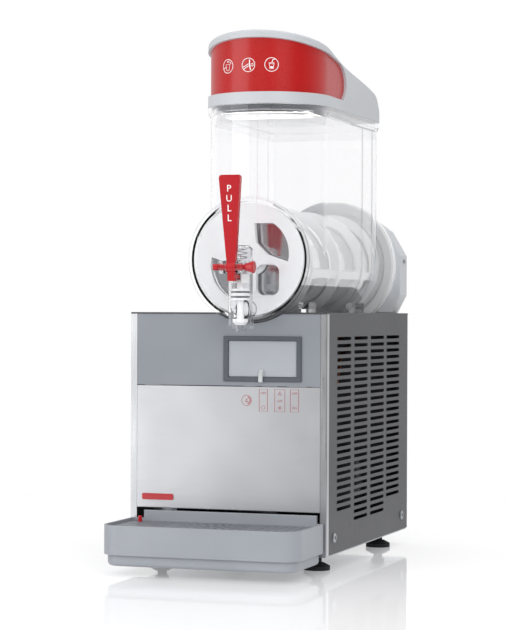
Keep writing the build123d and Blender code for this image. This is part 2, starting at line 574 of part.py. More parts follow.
with BuildPart() as auger:
    # helical blade
    with BuildLine() as blade_line:
        Helix(AUGER_PITCH, BLADE_Y1 - BLADE_Y0, (BLADE_IN + AUGER_R) / 2,
              center=(AXIS_X, BLADE_Y0, AXIS_Z), direction=(0, 1, 0))
    start = blade_line.line @ 0
    outward = Vector(start.X - AXIS_X, 0, start.Z - AXIS_Z).normalized()
    with BuildSketch(Plane(origin=start, x_dir=outward, z_dir=blade_line.line % 0)):
        Rectangle(AUGER_R - BLADE_IN - 1, BLADE_T)
    sweep(is_frenet=True)
    # front plate and rear ring
    drum(AXIS_X, AXIS_Z, AUGER_R, AUGER_FRONT, AUGER_FRONT + 8)
    drum(AXIS_X, AXIS_Z, AUGER_R, BLADE_Y1 - 4, BLADE_Y1)
    # long bars that tie the turns together
    for angle in (-14, 166):
        outward = Plane(origin=(AXIS_X, 0, AXIS_Z)).rotated((0, -angle, 0)).x_dir
        bar_end = Plane(origin=(AXIS_X, AUGER_FRONT + 4, AXIS_Z), x_dir=outward, z_dir=(0, 1, 0))
        with BuildSketch(bar_end):
            with Locations(((BLADE_IN + 66) / 2, 0)):
                Rectangle(66 - BLADE_IN, 10)
        extrude(amount=BLADE_Y1 - AUGER_FRONT - 6)
    drum(AXIS_X, AXIS_Z, BLADE_IN, AUGER_FRONT + 8, BLADE_Y1, mode=Mode.SUBTRACT)
    # hub and its openings
    drum(AXIS_X, AXIS_Z, HUB_R, AUGER_FRONT, DRUM_END - 4)
    with BuildSketch(Plane(origin=(AXIS_X, AUGER_FRONT, AXIS_Z), x_dir=(1, 0, 0), z_dir=(0, -1, 0))):
        for side in (1, -1):
            with BuildLine():
                Polyline([(side * x, side * z) for x, z in SECTOR])
                ThreePointArc(*[(side * x, side * z) for x, z in SECTOR_ARC])
            make_face()
        with Locations((23.5, -25.5)):
            RectangleRounded(30, 38, 9)
    extrude(amount=-8, mode=Mode.SUBTRACT)
    # flat-sided socket for the shaft
    drum(AXIS_X, AXIS_Z, SHAFT_R, AUGER_FRONT + 2, DRUM_END - 4, mode=Mode.SUBTRACT)
    for side in (-1, 1):
        block(*sorted((AXIS_X + side * SHAFT_FLAT, AXIS_X + side * 8)), AUGER_FRONT + 2,
              DRUM_END - 4, AXIS_Z - 8, AXIS_Z + 8)
keep(auger, "auger")

# ================================================================ bowl
def hopper_plan(out):
    """Hopper seen from above, grown outwards by out: round nose, straight sides, flat rear."""
    half = BOWL_R + out
    rear = HOPPER_REAR + out
    with BuildSketch(Plane.XY) as plan:
        with BuildLine():
            Polyline((AXIS_X - half, NOSE_Y), (AXIS_X - half, rear), (AXIS_X + half, rear),
                     (AXIS_X + half, NOSE_Y))
            ThreePointArc((AXIS_X + half, NOSE_Y), (AXIS_X, NOSE_Y - half), (AXIS_X - half, NOSE_Y))
        make_face()
        fillet(plan.vertices().group_by(Axis.Y)[-1], HOPPER_CORNER + out)
    return plan.sketch


def slab(outline, z0, z1, mode=Mode.ADD):
    """An outline drawn at z = 0, raised into a slab between two heights."""
    extrude(outline.moved(Location((0, 0, z0))), amount=z1 - z0, mode=mode)


OUTLET_Z = DECK + 4.0
OUTLET_R = 9.0
BEAD_R = BOWL_R + 3.5
with BuildPart() as bowl:
    drum(AXIS_X, AXIS_Z, BOWL_R, DRUM_FRONT, SEAL_Y)
    slab(hopper_plan(0), AXIS_Z, RIM)
    slab(hopper_plan(2), RIM - 11, RIM - 8)
    slab(hopper_plan(3.5), RIM - 8, RIM)
    drum(AXIS_X, AXIS_Z, BEAD_R, DRUM_FRONT, DRUM_FRONT + 2.4)
    drum(AXIS_X, AXIS_Z, BOWL_R + 0.8, SEAL_Y - 3, SEAL_Y)
    for y0, y1 in ((FRONT + 70, FRONT + 100), (FRONT + 285, FRONT + 325)):
        for side in (-1, 1):
            block(*sorted((AXIS_X + side * 44, AXIS_X + side * 54)), y0, y1, DECK + PLAY, DECK + 20)
    for y in (FRONT + 238, FRONT + 286):
        with BuildSketch(facing_front(y)):
            with Locations((AXIS_X, AXIS_Z)):
                Circle(BOWL_R + 0.9)
                Rectangle(2 * BOWL_R + 1.8, RIM - 11 - AXIS_Z, align=(Align.CENTER, Align.MIN))
        extrude(amount=-2)
    drum(AXIS_X, AXIS_Z, BOWL_R - BOWL_WALL, DRUM_FRONT + BOWL_WALL, SEAL_Y + 1, mode=Mode.SUBTRACT)
    slab(hopper_plan(-BOWL_WALL), AXIS_Z, RIM, mode=Mode.SUBTRACT)
    slab(hopper_plan(0.5), RIM - 7, RIM, mode=Mode.SUBTRACT)
    drum(AXIS_X, OUTLET_Z, OUTLET_R, DRUM_FRONT, DRUM_FRONT + 4, mode=Mode.SUBTRACT)
keep(bowl, "bowl")

# ================================================================ tap
TAP_Y = FRONT - 38.0
TUBE_R, TUBE_BORE = 15.0, 12.5
TUBE_TOP, TUBE_BOTTOM = DECK + 82.0, DECK - 20.0
PIVOT_Y, PIVOT_Z = FRONT - 70.0, DECK + 55.0
PIN_R = 3.0
ARM_Z = PIVOT_Z - 11.0  # the arm's tip inside the tube
EAR_IN, EAR_T = 6.5, 8.5
ARM_HALF = 2.2  # half the arm's height

with BuildPart() as tap_body:
    post(AXIS_X, TAP_Y, TUBE_R, TUBE_BOTTOM, TUBE_TOP - 4)
    with Locations((AXIS_X, TAP_Y, TUBE_TOP - 4)):
        Cone(TUBE_R, TUBE_R - 4.5, 4, align=(Align.CENTER, Align.CENTER, Align.MIN))
    post(AXIS_X, TAP_Y, 16.5, TUBE_BOTTOM, TUBE_BOTTOM + 10)
    post(AXIS_X, TAP_Y, 6, TUBE_BOTTOM - 3, TUBE_BOTTOM)
    drum(AXIS_X, OUTLET_Z, OUTLET_R + 2.5, TAP_Y, DRUM_FRONT)
    drum(AXIS_X, OUTLET_Z, OUTLET_R, DRUM_FRONT, DRUM_FRONT + BOWL_WALL)
    for side in (-1, 1):
        x0, x1 = sorted((AXIS_X + side * EAR_IN, AXIS_X + side * (EAR_IN + EAR_T)))
        rod(PIVOT_Y, PIVOT_Z, 8, x0, x1)
        block(x0, x1, PIVOT_Y, TAP_Y, PIVOT_Z - 8, PIVOT_Z + 8)
    post(AXIS_X, TAP_Y, TUBE_BORE, TUBE_BOTTOM + 4, TUBE_TOP - 2.5, mode=Mode.SUBTRACT)
    post(AXIS_X, TAP_Y, 4.5, TUBE_BOTTOM - 3, TUBE_BOTTOM + 4, mode=Mode.SUBTRACT)
    drum(AXIS_X, OUTLET_Z, OUTLET_R - 1, TAP_Y, DRUM_FRONT + BOWL_WALL, mode=Mode.SUBTRACT)
    block(AXIS_X - 4.4, AXIS_X + 4.4, TAP_Y - 20, TAP_Y, ARM_Z - 7, ARM_Z + 26, mode=Mode.SUBTRACT)
    rod(PIVOT_Y, PIVOT_Z, PIN_R, AXIS_X - 20, AXIS_X + 20, mode=Mode.SUBTRACT)
keep(tap_body, "tap_body")

with BuildPart() as tap_pin:
    rod(PIVOT_Y, PIVOT_Z, PIN_R, AXIS_X - 23, AXIS_X + 20)
    rod(PIVOT_Y, PIVOT_Z, 4, AXIS_X - 23.5, AXIS_X - 18)
    with Locations((AXIS_X + 23, PIVOT_Y, PIVOT_Z)):
        Cone(4.2, 8, 12, rotation=(0, 90, 0))
    fillet(edges().filter_by(GeomType.CIRCLE).sort_by(Axis.X)[-1], 1.5)
keep(tap_pin, "tap_pin")

HANDLE_LEAN = 3.6  # degrees towards the user
HANDLE_T = 8.0
HANDLE_UP = 112.0
lean = radians(HANDLE_LEAN)
handle_plane = Plane(origin=(AXIS_X, PIVOT_Y, PIVOT_Z), x_dir=(1, 0, 0),
                     z_dir=(0, -cos(lean), -sin(lean)))
with BuildPart() as tap_handle:
    with BuildSketch(handle_plane) as blade_face:
        with BuildLine():
            Polyline((-4.6, -4), (-6.3, 14), (-14, HANDLE_UP), (14, HANDLE_UP), (6.3, 14), (4.6, -4),
                     close=True)
        make_face()
        fillet(blade_face.vertices().group_by(Axis.Z)[-1], 4)
    extrude(amount=HANDLE_T / 2, both=True)
    fillet(edges().group_by(Axis.Z)[-1], 1.2)
    rod(PIVOT_Y, PIVOT_Z, 6.5, AXIS_X - EAR_IN + 0.5, AXIS_X + EAR_IN - 0.5)
    block(AXIS_X - 4.6, AXIS_X + 4.6, PIVOT_Y - 4, PIVOT_Y + 4, PIVOT_Z - 17, PIVOT_Z)
    block(AXIS_X - 3.6, AXIS_X + 3.6, PIVOT_Y, TAP_Y, ARM_Z - ARM_HALF, ARM_Z + ARM_HALF)
    rod(TAP_Y, ARM_Z, 3.4, AXIS_X - 3.6, AXIS_X + 3.6)
    rod(PIVOT_Y, PIVOT_Z, PIN_R + RUNNING, AXIS_X - 8, AXIS_X + 8, mode=Mode.SUBTRACT)
keep(tap_handle, "tap_handle")

PISTON_R = 11.4
RING_Z = (DECK + 19.0, DECK + 25.0)
RING_WIRE = 1.2
VALVE_Z = TUBE_BOTTOM + 4
PLUNGER_TOP = ARM_Z + 7.0
with BuildPart() as tap_plunger:
    with Locations((AXIS_X, TAP_Y, VALVE_Z + PLAY)):
        Cone(6, 9.5, 4, align=(Align.CENTER, Align.CENTER, Align.MIN))
    post(AXIS_X, TAP_Y, 9.5, VALVE_Z + 4, VALVE_Z + 8)
    post(AXIS_X, TAP_Y, 4.5, VALVE_Z + 4, PLUNGER_TOP)
    post(AXIS_X, TAP_Y, PISTON_R, RING_Z[0] - 4, RING_Z[1] + 4)
    post(AXIS_X, TAP_Y, PISTON_R, ARM_Z - 8, PLUNGER_TOP)
    post(AXIS_X, TAP_Y, 4.5, PLUNGER_TOP, PLUNGER_TOP + 3)
    block(AXIS_X - 4.2, AXIS_X + 4.2, TAP_Y - 12, TAP_Y + 7, ARM_Z - 4.2, ARM_Z + 4.2,
          mode=Mode.SUBTRACT)
    # room under the arm, which slants as it lifts
    block(AXIS_X - 4.2, AXIS_X + 4.2, TAP_Y - 12, TAP_Y - 1, ARM_Z - 12.5, ARM_Z, mode=Mode.SUBTRACT)
    for z in RING_Z:
        post(AXIS_X, TAP_Y, PISTON_R, z - 1.3, z + 1.3, mode=Mode.SUBTRACT)
        post(AXIS_X, TAP_Y, PISTON_R - 1.9, z - 1.3, z + 1.3)
keep(tap_plunger, "tap_plunger")

with BuildPart() as plunger_o_rings:
    for z in RING_Z:
        with Locations((AXIS_X, TAP_Y, z)):
            Torus(PISTON_R - 1.85 + RING_WIRE, RING_WIRE)
keep(plunger_o_rings, "plunger_o_rings")

SPRING_TURNS = 5
SPRING_WIRE = 0.6
SPRING_Z0, SPRING_Z1 = PLUNGER_TOP + 0.8, TUBE_TOP - 3.5
with BuildPart() as tap_spring:
    with BuildLine() as spring_line:
        Helix((SPRING_Z1 - SPRING_Z0) / SPRING_TURNS, SPRING_Z1 - SPRING_Z0, 8.0,
              center=(AXIS_X, TAP_Y, SPRING_Z0), direction=(0, 0, 1))
    with BuildSketch(Plane(origin=spring_line.line @ 0, z_dir=spring_line.line % 0)):
        Circle(SPRING_WIRE)
    sweep()
keep(tap_spring, "tap_spring")

# ================================================================ lid
LID_BOTTOM = RIM + 0.5
LID_OUT = 4.0  # how far the lid's skin stands outside the hopper's wall
SIGN_IN = 3.5  # how far the sign lies inside the skin
SIGN_T = 2.0
LID_PROFILE = [(-6, 353.5), (45, 342), (95, 331), (130, 323), (200, 312.5), (284, 300)]
LID_REAR = [(284, 300), (298, 294.5), (307, 284.5), (323, 259.5)]
SIGN_TOP = [(-6, 343), (18, 337.8), (45, 331.8), (80, 326.8), (118, 321.3)]
SIGN_REAR = [(118, 321.3), (132, 317.5), (145, 308), (149.5, 297), (147, 286), (140, 278.5), (128, 274.7)]


def from_front(points, drop=0):
    """Points given behind the cabinet's front and above the deck, as places in the model."""
    return [(FRONT + y, DECK + z - drop) for y, z in points]


def lid_side(drop):
    """Side view of the lid, as a face across X, its top lowered by drop."""
    with BuildSketch(Plane.YZ) as side:
        with BuildLine():
            top = Spline(*from_front(LID_PROFILE, drop))
            rear = Spline(*from_front(LID_REAR, drop), tangents=(top % 1, Vector(0.54, -0.84)))
            low = LID_BOTTOM - 2 - drop
            Polyline(rear @ 1, ((rear @ 1).X, low), (FRONT - 20, low), (FRONT - 20, (top @ 0).Y), top @ 0)
        make_face()
    return side.sketch


def sign_side():
    """Side view of the sign, as a face across X."""
    with BuildSketch(Plane.YZ) as side:
        with BuildLine():
            top = Spline(*from_front(SIGN_TOP))
            rear = Spline(*from_front(SIGN_REAR), tangents=(top % 1, Vector(-1, 0)))
            Polyline(rear @ 1, (FRONT - 20, (rear @ 1).Y), (FRONT - 20, (top @ 0).Y), top @ 0)
        make_face()
    return side.sketch


def across(face):
    """A side view pushed right through the lid."""
    return extrude(face.moved(Location((AXIS_X - 100, 0, 0))), amount=200, mode=Mode.PRIVATE)


LID_WALL = 7.5
CEILING = 4.0
with BuildPart() as lid_shell:
    slab(hopper_plan(LID_OUT), LID_BOTTOM, DECK + 365)
    add(across(lid_side(0)), mode=Mode.INTERSECT)
    fillet(faces().filter_by(Plane.XY, reverse=True).sort_by(Axis.Z)[-1].edges(), 3.5)
    with BuildPart(mode=Mode.PRIVATE) as skin_outside_sign:
        slab(hopper_plan(LID_OUT + 1), LID_BOTTOM, DECK + 365)
        slab(hopper_plan(LID_OUT - SIGN_IN - SIGN_T), LID_BOTTOM, DECK + 365, mode=Mode.SUBTRACT)
        add(across(sign_side()), mode=Mode.INTERSECT)
    add(skin_outside_sign.part, mode=Mode.SUBTRACT)
    with BuildPart(mode=Mode.PRIVATE) as hollow:
        slab(hopper_plan(LID_OUT - LID_WALL), LID_BOTTOM - 1, DECK + 365)
        add(across(lid_side(CEILING)), mode=Mode.INTERSECT)
    add(hollow.part, mode=Mode.SUBTRACT)
keep(lid_shell, "lid_shell")

with BuildPart() as lid_sign:
    slab(hopper_plan(LID_OUT - SIGN_IN), LID_BOTTOM, DECK + 365)
    slab(hopper_plan(LID_OUT - SIGN_IN - SIGN_T), LID_BOTTOM, DECK + 365, mode=Mode.SUBTRACT)
    add(across(sign_side()), mode=Mode.INTERSECT)
keep(lid_sign, "lid_sign")

LINER_OUT = -BOWL_WALL - 1.0  # the clear inner pan hangs inside the hopper's rim
with BuildPart() as lid_liner:
    slab(hopper_plan(LINER_OUT), RIM - 22, LID_BOTTOM)
    slab(hopper_plan(LINER_OUT), LID_BOTTOM, LID_BOTTOM + 3)
    slab(hopper_plan(LINER_OUT - 2), RIM - 22, RIM - 12, mode=Mode.SUBTRACT)
    slab(hopper_plan(LINER_OUT - 2), RIM - 10, LID_BOTTOM + 3, mode=Mode.SUBTRACT)
keep(lid_liner, "lid_liner")

with BuildPart() as lid_lamp:
    block(AXIS_X - 55, AXIS_X + 55, FRONT + 60, FRONT + 84, RIM - 10, RIM - 6)
    for row in range(8):
        x = AXIS_X - 49 + row * 14
        block(x - 2.5, x + 2.5, FRONT + 68, FRONT + 73, RIM - 6, RIM - 4.6)
keep(lid_lamp, "lid_lamp")

# ================================================================ drip tray
TRAY_FRONT = FRONT - TRAY_PROUD
TRAY_REAR = FRONT - 1.0
GRID_Z = TRAY_TOP - 6.5
FLOAT_X, FLOAT_Y = -110.0, FRONT - 17.0
FLOAT_R = 2.5
LIP = (-110, 118)  # the raised lip along the tray's rear edge, clear of the float


def tray_plan(inset):
    """Tray seen from above: square at the cabinet, round at the two front corners."""
    half, front, rear = TRAY_HALF - inset, TRAY_FRONT + inset, TRAY_REAR - inset
    with BuildSketch(Plane.XY) as plan:
        with Locations((0, (front + rear) / 2)):
            Rectangle(2 * half, rear - front)
        fillet(plan.vertices().group_by(Axis.Y)[0], 24 - inset)
        fillet(plan.vertices().group_by(Axis.Y)[-1], 3)
    return plan.sketch


with BuildPart() as drip_tray:
    slab(tray_plan(0), TRAY_STEP, TRAY_TOP)
    slab(tray_plan(4.5), TRAY_BOTTOM, TRAY_STEP)
    fillet(edges().group_by(Axis.Z)[0], 5)
    slab(tray_plan(7.5), TRAY_BOTTOM + 3, TRAY_STEP + 2, mode=Mode.SUBTRACT)
    slab(tray_plan(4.5), TRAY_STEP + 2, GRID_Z - PLAY, mode=Mode.SUBTRACT)
    slab(tray_plan(2.5), GRID_Z - PLAY, TRAY_TOP, mode=Mode.SUBTRACT)
    block(-112, 112, TRAY_REAR, SILL_BACK - 6, SILL_Z + PLAY, SILL_Z + 3.3)
    block(*LIP, TRAY_REAR - 2.5, TRAY_REAR, TRAY_TOP, TRAY_TOP + 10)
    block(*LIP, TRAY_REAR, TRAY_REAR + 2, SILL_Z + PLAY, TRAY_TOP + 10)
    fillet(edges().filter_by(Axis.X).group_by(Axis.Z)[-1], 0.9)
keep(drip_tray, "drip_tray")

GRID_T = 3.0
GRID_X, GRID_Y = 0.0, (TRAY_FRONT + TRAY_REAR) / 2
with BuildPart() as drip_grid:
    slab(tray_plan(2.5 + 0.5), GRID_Z, GRID_Z + GRID_T)
    fillet(edges().group_by(Axis.Z)[-1], 0.8)
    with BuildSketch(level(GRID_Z)):
        for ring, count in ((10, 8), (20, 12), (31, 18), (42, 24)):
            with Locations((GRID_X, GRID_Y)):
                with PolarLocations(ring, count):
                    SlotOverall(8, 3.2)
        for side in (-1, 1):
            with Locations((GRID_X + side * 85, GRID_Y)):
                with GridLocations(11, 9, 5, 9):
                    Circle(2.1)
    extrude(amount=GRID_T, mode=Mode.SUBTRACT)
    post(FLOAT_X, FLOAT_Y, FLOAT_R + 0.5, GRID_Z, GRID_Z + GRID_T, mode=Mode.SUBTRACT)
keep(drip_grid, "drip_grid")

with BuildPart() as float_indicator:
    post(FLOAT_X, FLOAT_Y, 6.5, TRAY_BOTTOM + 3 + PLAY, TRAY_BOTTOM + 15)
    post(FLOAT_X, FLOAT_Y, FLOAT_R, TRAY_BOTTOM + 15, TRAY_TOP + 4)
    fillet(edges().group_by(Axis.Z)[-1], 1.2)
keep(float_indicator, "float_indicator")

# ================================================================ cooling, inside the cabinet
FLOOR = FOOT_H + SHEET
COMP_X, COMP_Y = 38.0, BACK - 120
COMP_R, COMP_TOP = 58.0, FLOOR + 120
COMP_FEET = [(COMP_X - 68, COMP_Y), (COMP_X + 68, COMP_Y)]
with BuildPart() as compressor:
    post(COMP_X, COMP_Y, COMP_R, FLOOR + 16, COMP_TOP)
    fillet(edges().filter_by(GeomType.CIRCLE).sort_by(Axis.Z)[-1], 28)
    fillet(edges().filter_by(GeomType.CIRCLE).sort_by(Axis.Z)[0], 12)
    post(COMP_X, COMP_Y, COMP_R + 3, FLOOR + 66, FLOOR + 72)
    block(COMP_X - 78, COMP_X + 78, COMP_Y - 14, COMP_Y + 14, FLOOR + 12, FLOOR + 16)
    block(COMP_X - 22, COMP_X + 22, COMP_Y + COMP_R - 6, COMP_Y + 80, FLOOR + 40, FLOOR + 96)
    for x, y in COMP_FEET:
        post(x, y, 4, FLOOR + 12, FLOOR + 16, mode=Mode.SUBTRACT)
keep(compressor, "compressor")

with BuildPart() as compressor_grommets:
    for x, y in COMP_FEET:
        post(x, y, 9, FLOOR, FLOOR + 12)
        post(x, y, 4, FLOOR + 12, FLOOR + 20)
        post(x, y, 8, FLOOR + 16, FLOOR + 19)
keep(compressor_grommets, "compressor_grommets")

COND_X0, COND_X1 = -116.0, -84.0
COND_Y0, COND_Y1 = FRONT + 45, FRONT + 245
COND_Z0, COND_Z1 = FLOOR + 6, FLOOR + 206
FAN_Y, FAN_Z = (COND_Y0 + COND_Y1) / 2, (COND_Z0 + COND_Z1) / 2
FAN_R = 82.0
with BuildPart() as condenser:
    block(COND_X0, COND_X1, COND_Y0, COND_Y1, COND_Z0, COND_Z1)
    with BuildSketch(facing_right(COND_X0)):
        with Locations((FAN_Y, FAN_Z)):
            with GridLocations(6, 0, 31, 1):
                Rectangle(4.4, COND_Z1 - COND_Z0 - 8)
    extrude(amount=9, mode=Mode.SUBTRACT)
    for z in (COND_Z0, COND_Z1 - 1.5):
        block(COND_X0 - 3, COND_X1, COND_Y0, COND_Y1, z, z + 1.5)
    for x in (COND_X0 + 10, COND_X1 - 8):
        block(x - 4, x + 4, FAN_Y - 40, FAN_Y + 40, FLOOR, COND_Z0)
keep(condenser, "condenser")

SHROUD_X = COND_X1
with BuildPart() as fan_shroud:
    block(SHROUD_X, SHROUD_X + 2, COND_Y0, COND_Y1, COND_Z0, COND_Z1)
    rod(FAN_Y, FAN_Z, FAN_R + 5, SHROUD_X + 2, SHROUD_X + 16)
    rod(FAN_Y, FAN_Z, FAN_R + 3, SHROUD_X, SHROUD_X + 16, mode=Mode.SUBTRACT)
    for dz in (-1, 1):
        block(SHROUD_X + 2, SHROUD_X + 44, FAN_Y - 5, FAN_Y + 5,
              *sorted((FAN_Z + dz * 94, FAN_Z + dz * 96.5)))
        block(SHROUD_X + 42, SHROUD_X + 44, FAN_Y - 5, FAN_Y + 5, *sorted((FAN_Z, FAN_Z + dz * 96.5)))
    rod(FAN_Y, FAN_Z, 8, SHROUD_X + 42, SHROUD_X + 44, mode=Mode.SUBTRACT)
keep(fan_shroud, "fan_shroud")

MOTOR_FACE = SHROUD_X + 21
with BuildPart() as fan_motor:
    rod(FAN_Y, FAN_Z, 27, MOTOR_FACE, SHROUD_X + 42)
    fillet(edges().filter_by(GeomType.CIRCLE), 3)
    rod(FAN_Y, FAN_Z, 8, SHROUD_X + 42, SHROUD_X + 48)
    rod(FAN_Y, FAN_Z, 3 + RUNNING, MOTOR_FACE, MOTOR_FACE + 10, mode=Mode.SUBTRACT)
keep(fan_motor, "fan_motor")

FAN_BLADES = 5
with BuildPart() as condenser_fan:
    rod(FAN_Y, FAN_Z, 20, SHROUD_X + 4, MOTOR_FACE - 2)
    for blade in range(FAN_BLADES):
        turn = 2 * pi * blade / FAN_BLADES
        outward = Vector(0, cos(turn), sin(turn))
        sideways = Vector(0, -sin(turn), cos(turn))
        foot = Vector(SHROUD_X + 11, FAN_Y, FAN_Z) + outward * 17
        root = Plane(origin=foot, x_dir=sideways, z_dir=outward)
        with BuildSketch(root):
            Rectangle(20, 1.8, rotation=24)
        with BuildSketch(root.offset(FAN_R - 19)):
            Rectangle(44, 1.8, rotation=12)
        loft()
    rod(FAN_Y, FAN_Z, 3, MOTOR_FACE - 2, MOTOR_FACE + 9)
keep(condenser_fan, "condenser_fan")

DRIER_X, DRIER_Y = -70.0, BACK - 60
DRIER_Z0, DRIER_Z1 = FLOOR + 60, FLOOR + 150
with BuildPart() as filter_drier:
    post(DRIER_X, DRIER_Y, 10, DRIER_Z0, DRIER_Z1)
    fillet(edges().filter_by(GeomType.CIRCLE), 5)
keep(filter_drier, "filter_drier")


PIPE_Y = HOUSING_Y + 11.5
BEND_R = 8.0
SUCTION, LIQUID = PIPE_HOLES
UNDER_DECK = DECK - 30
ROUTES = [
    # suction, from the evaporator down to the compressor
    [(SUCTION[0], HOUSING_Y - 24, SUCTION[1]), (SUCTION[0], PIPE_Y, SUCTION[1]),
     (SUCTION[0] - 12, PIPE_Y, UNDER_DECK), (COMP_X + 15, PIPE_Y - 60, UNDER_DECK - 30),
     (COMP_X + 15, COMP_Y, COMP_TOP + 30), (COMP_X + 15, COMP_Y, COMP_TOP)],
    # liquid, from the drier up into the evaporator
    [(LIQUID[0], DRUM_END + 20, LIQUID[1]), (LIQUID[0], PIPE_Y, LIQUID[1]),
     (LIQUID[0] - 20, PIPE_Y, UNDER_DECK), (DRIER_X, PIPE_Y - 7, UNDER_DECK - 30),
     (DRIER_X, DRIER_Y, UNDER_DECK - 62), (DRIER_X, DRIER_Y, DRIER_Z1)],
    # discharge, from the compressor to the condenser
    [(COMP_X - 15, COMP_Y, COMP_TOP), (COMP_X - 15, COMP_Y, 250), (-100, 60, 250), (-100, 60, COND_Z1)],
    # from the condenser to the drier
    [(-100, COND_Y1, 60), (-100, COND_Y1 + 48, 60), (DRIER_X, DRIER_Y, 50), (DRIER_X, DRIER_Y, DRIER_Z0)],
]


def pipe(points):
    """One bent pipe, with equal arcs at its corners."""
    with BuildPart(mode=Mode.PRIVATE) as tube:
        with BuildLine() as route:
            FilletPolyline(*points, radius=BEND_R)
        with BuildSketch(Plane(origin=route.line @ 0, z_dir=route.line % 0)):
            Circle(PIPE_R)
        sweep()
    return tube.part


with BuildPart() as refrigerant_tubing:
    for route_points in ROUTES:
        add(pipe(route_points))
keep(refrigerant_tubing, "refrigerant_tubing")
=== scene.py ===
# %% [markdown]
# # A one-bowl slushie machine
# The machine stands on a counter. A louvred cabinet hides the cooling, a clear drum and hopper
# hold the drink, a white auger turns on a steel freezing drum inside it, and a red lever opens
# the tap. The engineering model gives every piece with its true size; this lesson gives them
# their finishes and the small things on top.

# %% The fixed frame
import bmesh
import bpy
import json
from math import asin, cos, pi, radians, sin
from mathutils import Matrix, Vector


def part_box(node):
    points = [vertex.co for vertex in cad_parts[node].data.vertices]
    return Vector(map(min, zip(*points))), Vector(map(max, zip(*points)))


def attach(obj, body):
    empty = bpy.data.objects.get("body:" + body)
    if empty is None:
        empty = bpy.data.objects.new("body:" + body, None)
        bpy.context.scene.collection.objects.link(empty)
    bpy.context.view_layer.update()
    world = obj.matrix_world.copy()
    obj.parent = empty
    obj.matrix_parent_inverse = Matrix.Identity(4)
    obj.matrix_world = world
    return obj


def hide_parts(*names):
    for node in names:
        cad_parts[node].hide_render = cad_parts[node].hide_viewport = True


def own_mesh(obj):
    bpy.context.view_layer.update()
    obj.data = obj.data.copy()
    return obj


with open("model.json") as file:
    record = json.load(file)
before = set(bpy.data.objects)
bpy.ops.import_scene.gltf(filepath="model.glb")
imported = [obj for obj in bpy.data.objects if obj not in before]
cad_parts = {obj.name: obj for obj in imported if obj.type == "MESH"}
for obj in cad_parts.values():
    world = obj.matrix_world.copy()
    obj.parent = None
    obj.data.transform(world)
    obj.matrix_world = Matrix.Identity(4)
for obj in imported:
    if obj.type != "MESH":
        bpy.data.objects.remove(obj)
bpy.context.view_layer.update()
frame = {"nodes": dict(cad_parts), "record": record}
nodes = frame["nodes"]

# %% [markdown]
# ## Where things are
# Lengths below are millimetres, as on a drawing, and one factor turns them to Blender's metres.
# Heights and depths that several pieces share are read from the pieces themselves, so a change
# to the model carries over.

# %% Shared places
MM = 0.001
AXIS_U = 30  # the drum's axis, right of the cabinet's middle, mm
AXIS_X = AXIS_U * MM
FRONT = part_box("upper_front_panel")[0].y  # the cabinet's front face
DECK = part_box("top_deck")[1].z
HALF_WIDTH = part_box("top_deck")[1].x
PIVOT = Vector((AXIS_X, FRONT - 70 * MM, DECK + 55 * MM))  # the tap lever turns here
print("front", round(FRONT, 5), "deck", round(DECK, 4))

# %% [markdown]
# ## Colour and node helpers
# Colours are written as they look on a screen, in hex. Cycles works in linear light, so one
# function turns them over. One more function adds a node: its inputs are plain values or other
# nodes' outputs. The rest are short names for nodes that come up often.

# %% Colour and node helpers
def paint(code):
    """A hex colour as linear red, green, blue and alpha."""
    parts = [int(code[i:i + 2], 16) / 255 for i in (1, 3, 5)]
    linear = [p / 12.92 if p <= 0.04045 else ((p + 0.055) / 1.055) ** 2.4 for p in parts]
    return (*linear, 1.0)


def put(tree, kind, values=None, **settings):
    """Add one node with its settings; values are its inputs by name or number."""
    added = tree.nodes.new(kind)
    for name, value in settings.items():
        setattr(added, name, value)
    for key, value in (values or {}).items():
        if isinstance(value, bpy.types.NodeSocket):
            tree.links.new(value, added.inputs[key])
        else:
            added.inputs[key].default_value = value
    return added


def maths(tree, operation, *values):
    """One operation on numbers or outputs."""
    return put(tree, "ShaderNodeMath", dict(enumerate(values)), operation=operation).outputs[0]


def ramp(tree, value, start, end, low, high, **settings):
    """Turn start to end into low to high, and hold the value beyond either end."""
    inputs = {"Value": value, "From Min": start, "From Max": end, "To Min": low, "To Max": high}
    return put(tree, "ShaderNodeMapRange", inputs, **settings).outputs[0]


print("node helpers ready")

# %% [markdown]
# ## How a finish is made
# Every solid finish has two close tones that drift slowly over a piece, a range of roughness
# and a low bump. All three come from noise in the piece's own space.

# %% Finish helper
EVEN = (1, 1, 1)  # grain that is not drawn out along any axis
DRIFT = 70  # mm over which the tone drifts
FINISH = {}


def grain(tree, size, stretch=EVEN, detail=2.0):
    """Noise whose features are about size mm, drawn out along an axis where stretch is above 1."""
    place = put(tree, "ShaderNodeTexCoord").outputs["Object"]
    scaled = put(tree, "ShaderNodeMapping", {"Vector": place, "Scale": [1 / s for s in stretch]})
    noise = put(tree, "ShaderNodeTexNoise",
                {"Vector": scaled.outputs[0], "Scale": 1000 / size, "Detail": detail})
    return noise.outputs[0]


def between(tree, value, low, high):
    """Spread noise, which keeps near its middle, over low to high."""
    return ramp(tree, value, 0.3, 0.7, low, high)


def two_tone(tree, value, first, second):
    """A colour between two hex colours."""
    tones = {0: value, 6: paint(first), 7: paint(second)}
    return put(tree, "ShaderNodeMix", tones, data_type="RGBA").outputs[2]


def blank(title):
    """A new material and its empty node tree."""
    made = bpy.data.materials.new(title)
    made.use_nodes = True
    made.node_tree.nodes.clear()
    return made, made.node_tree


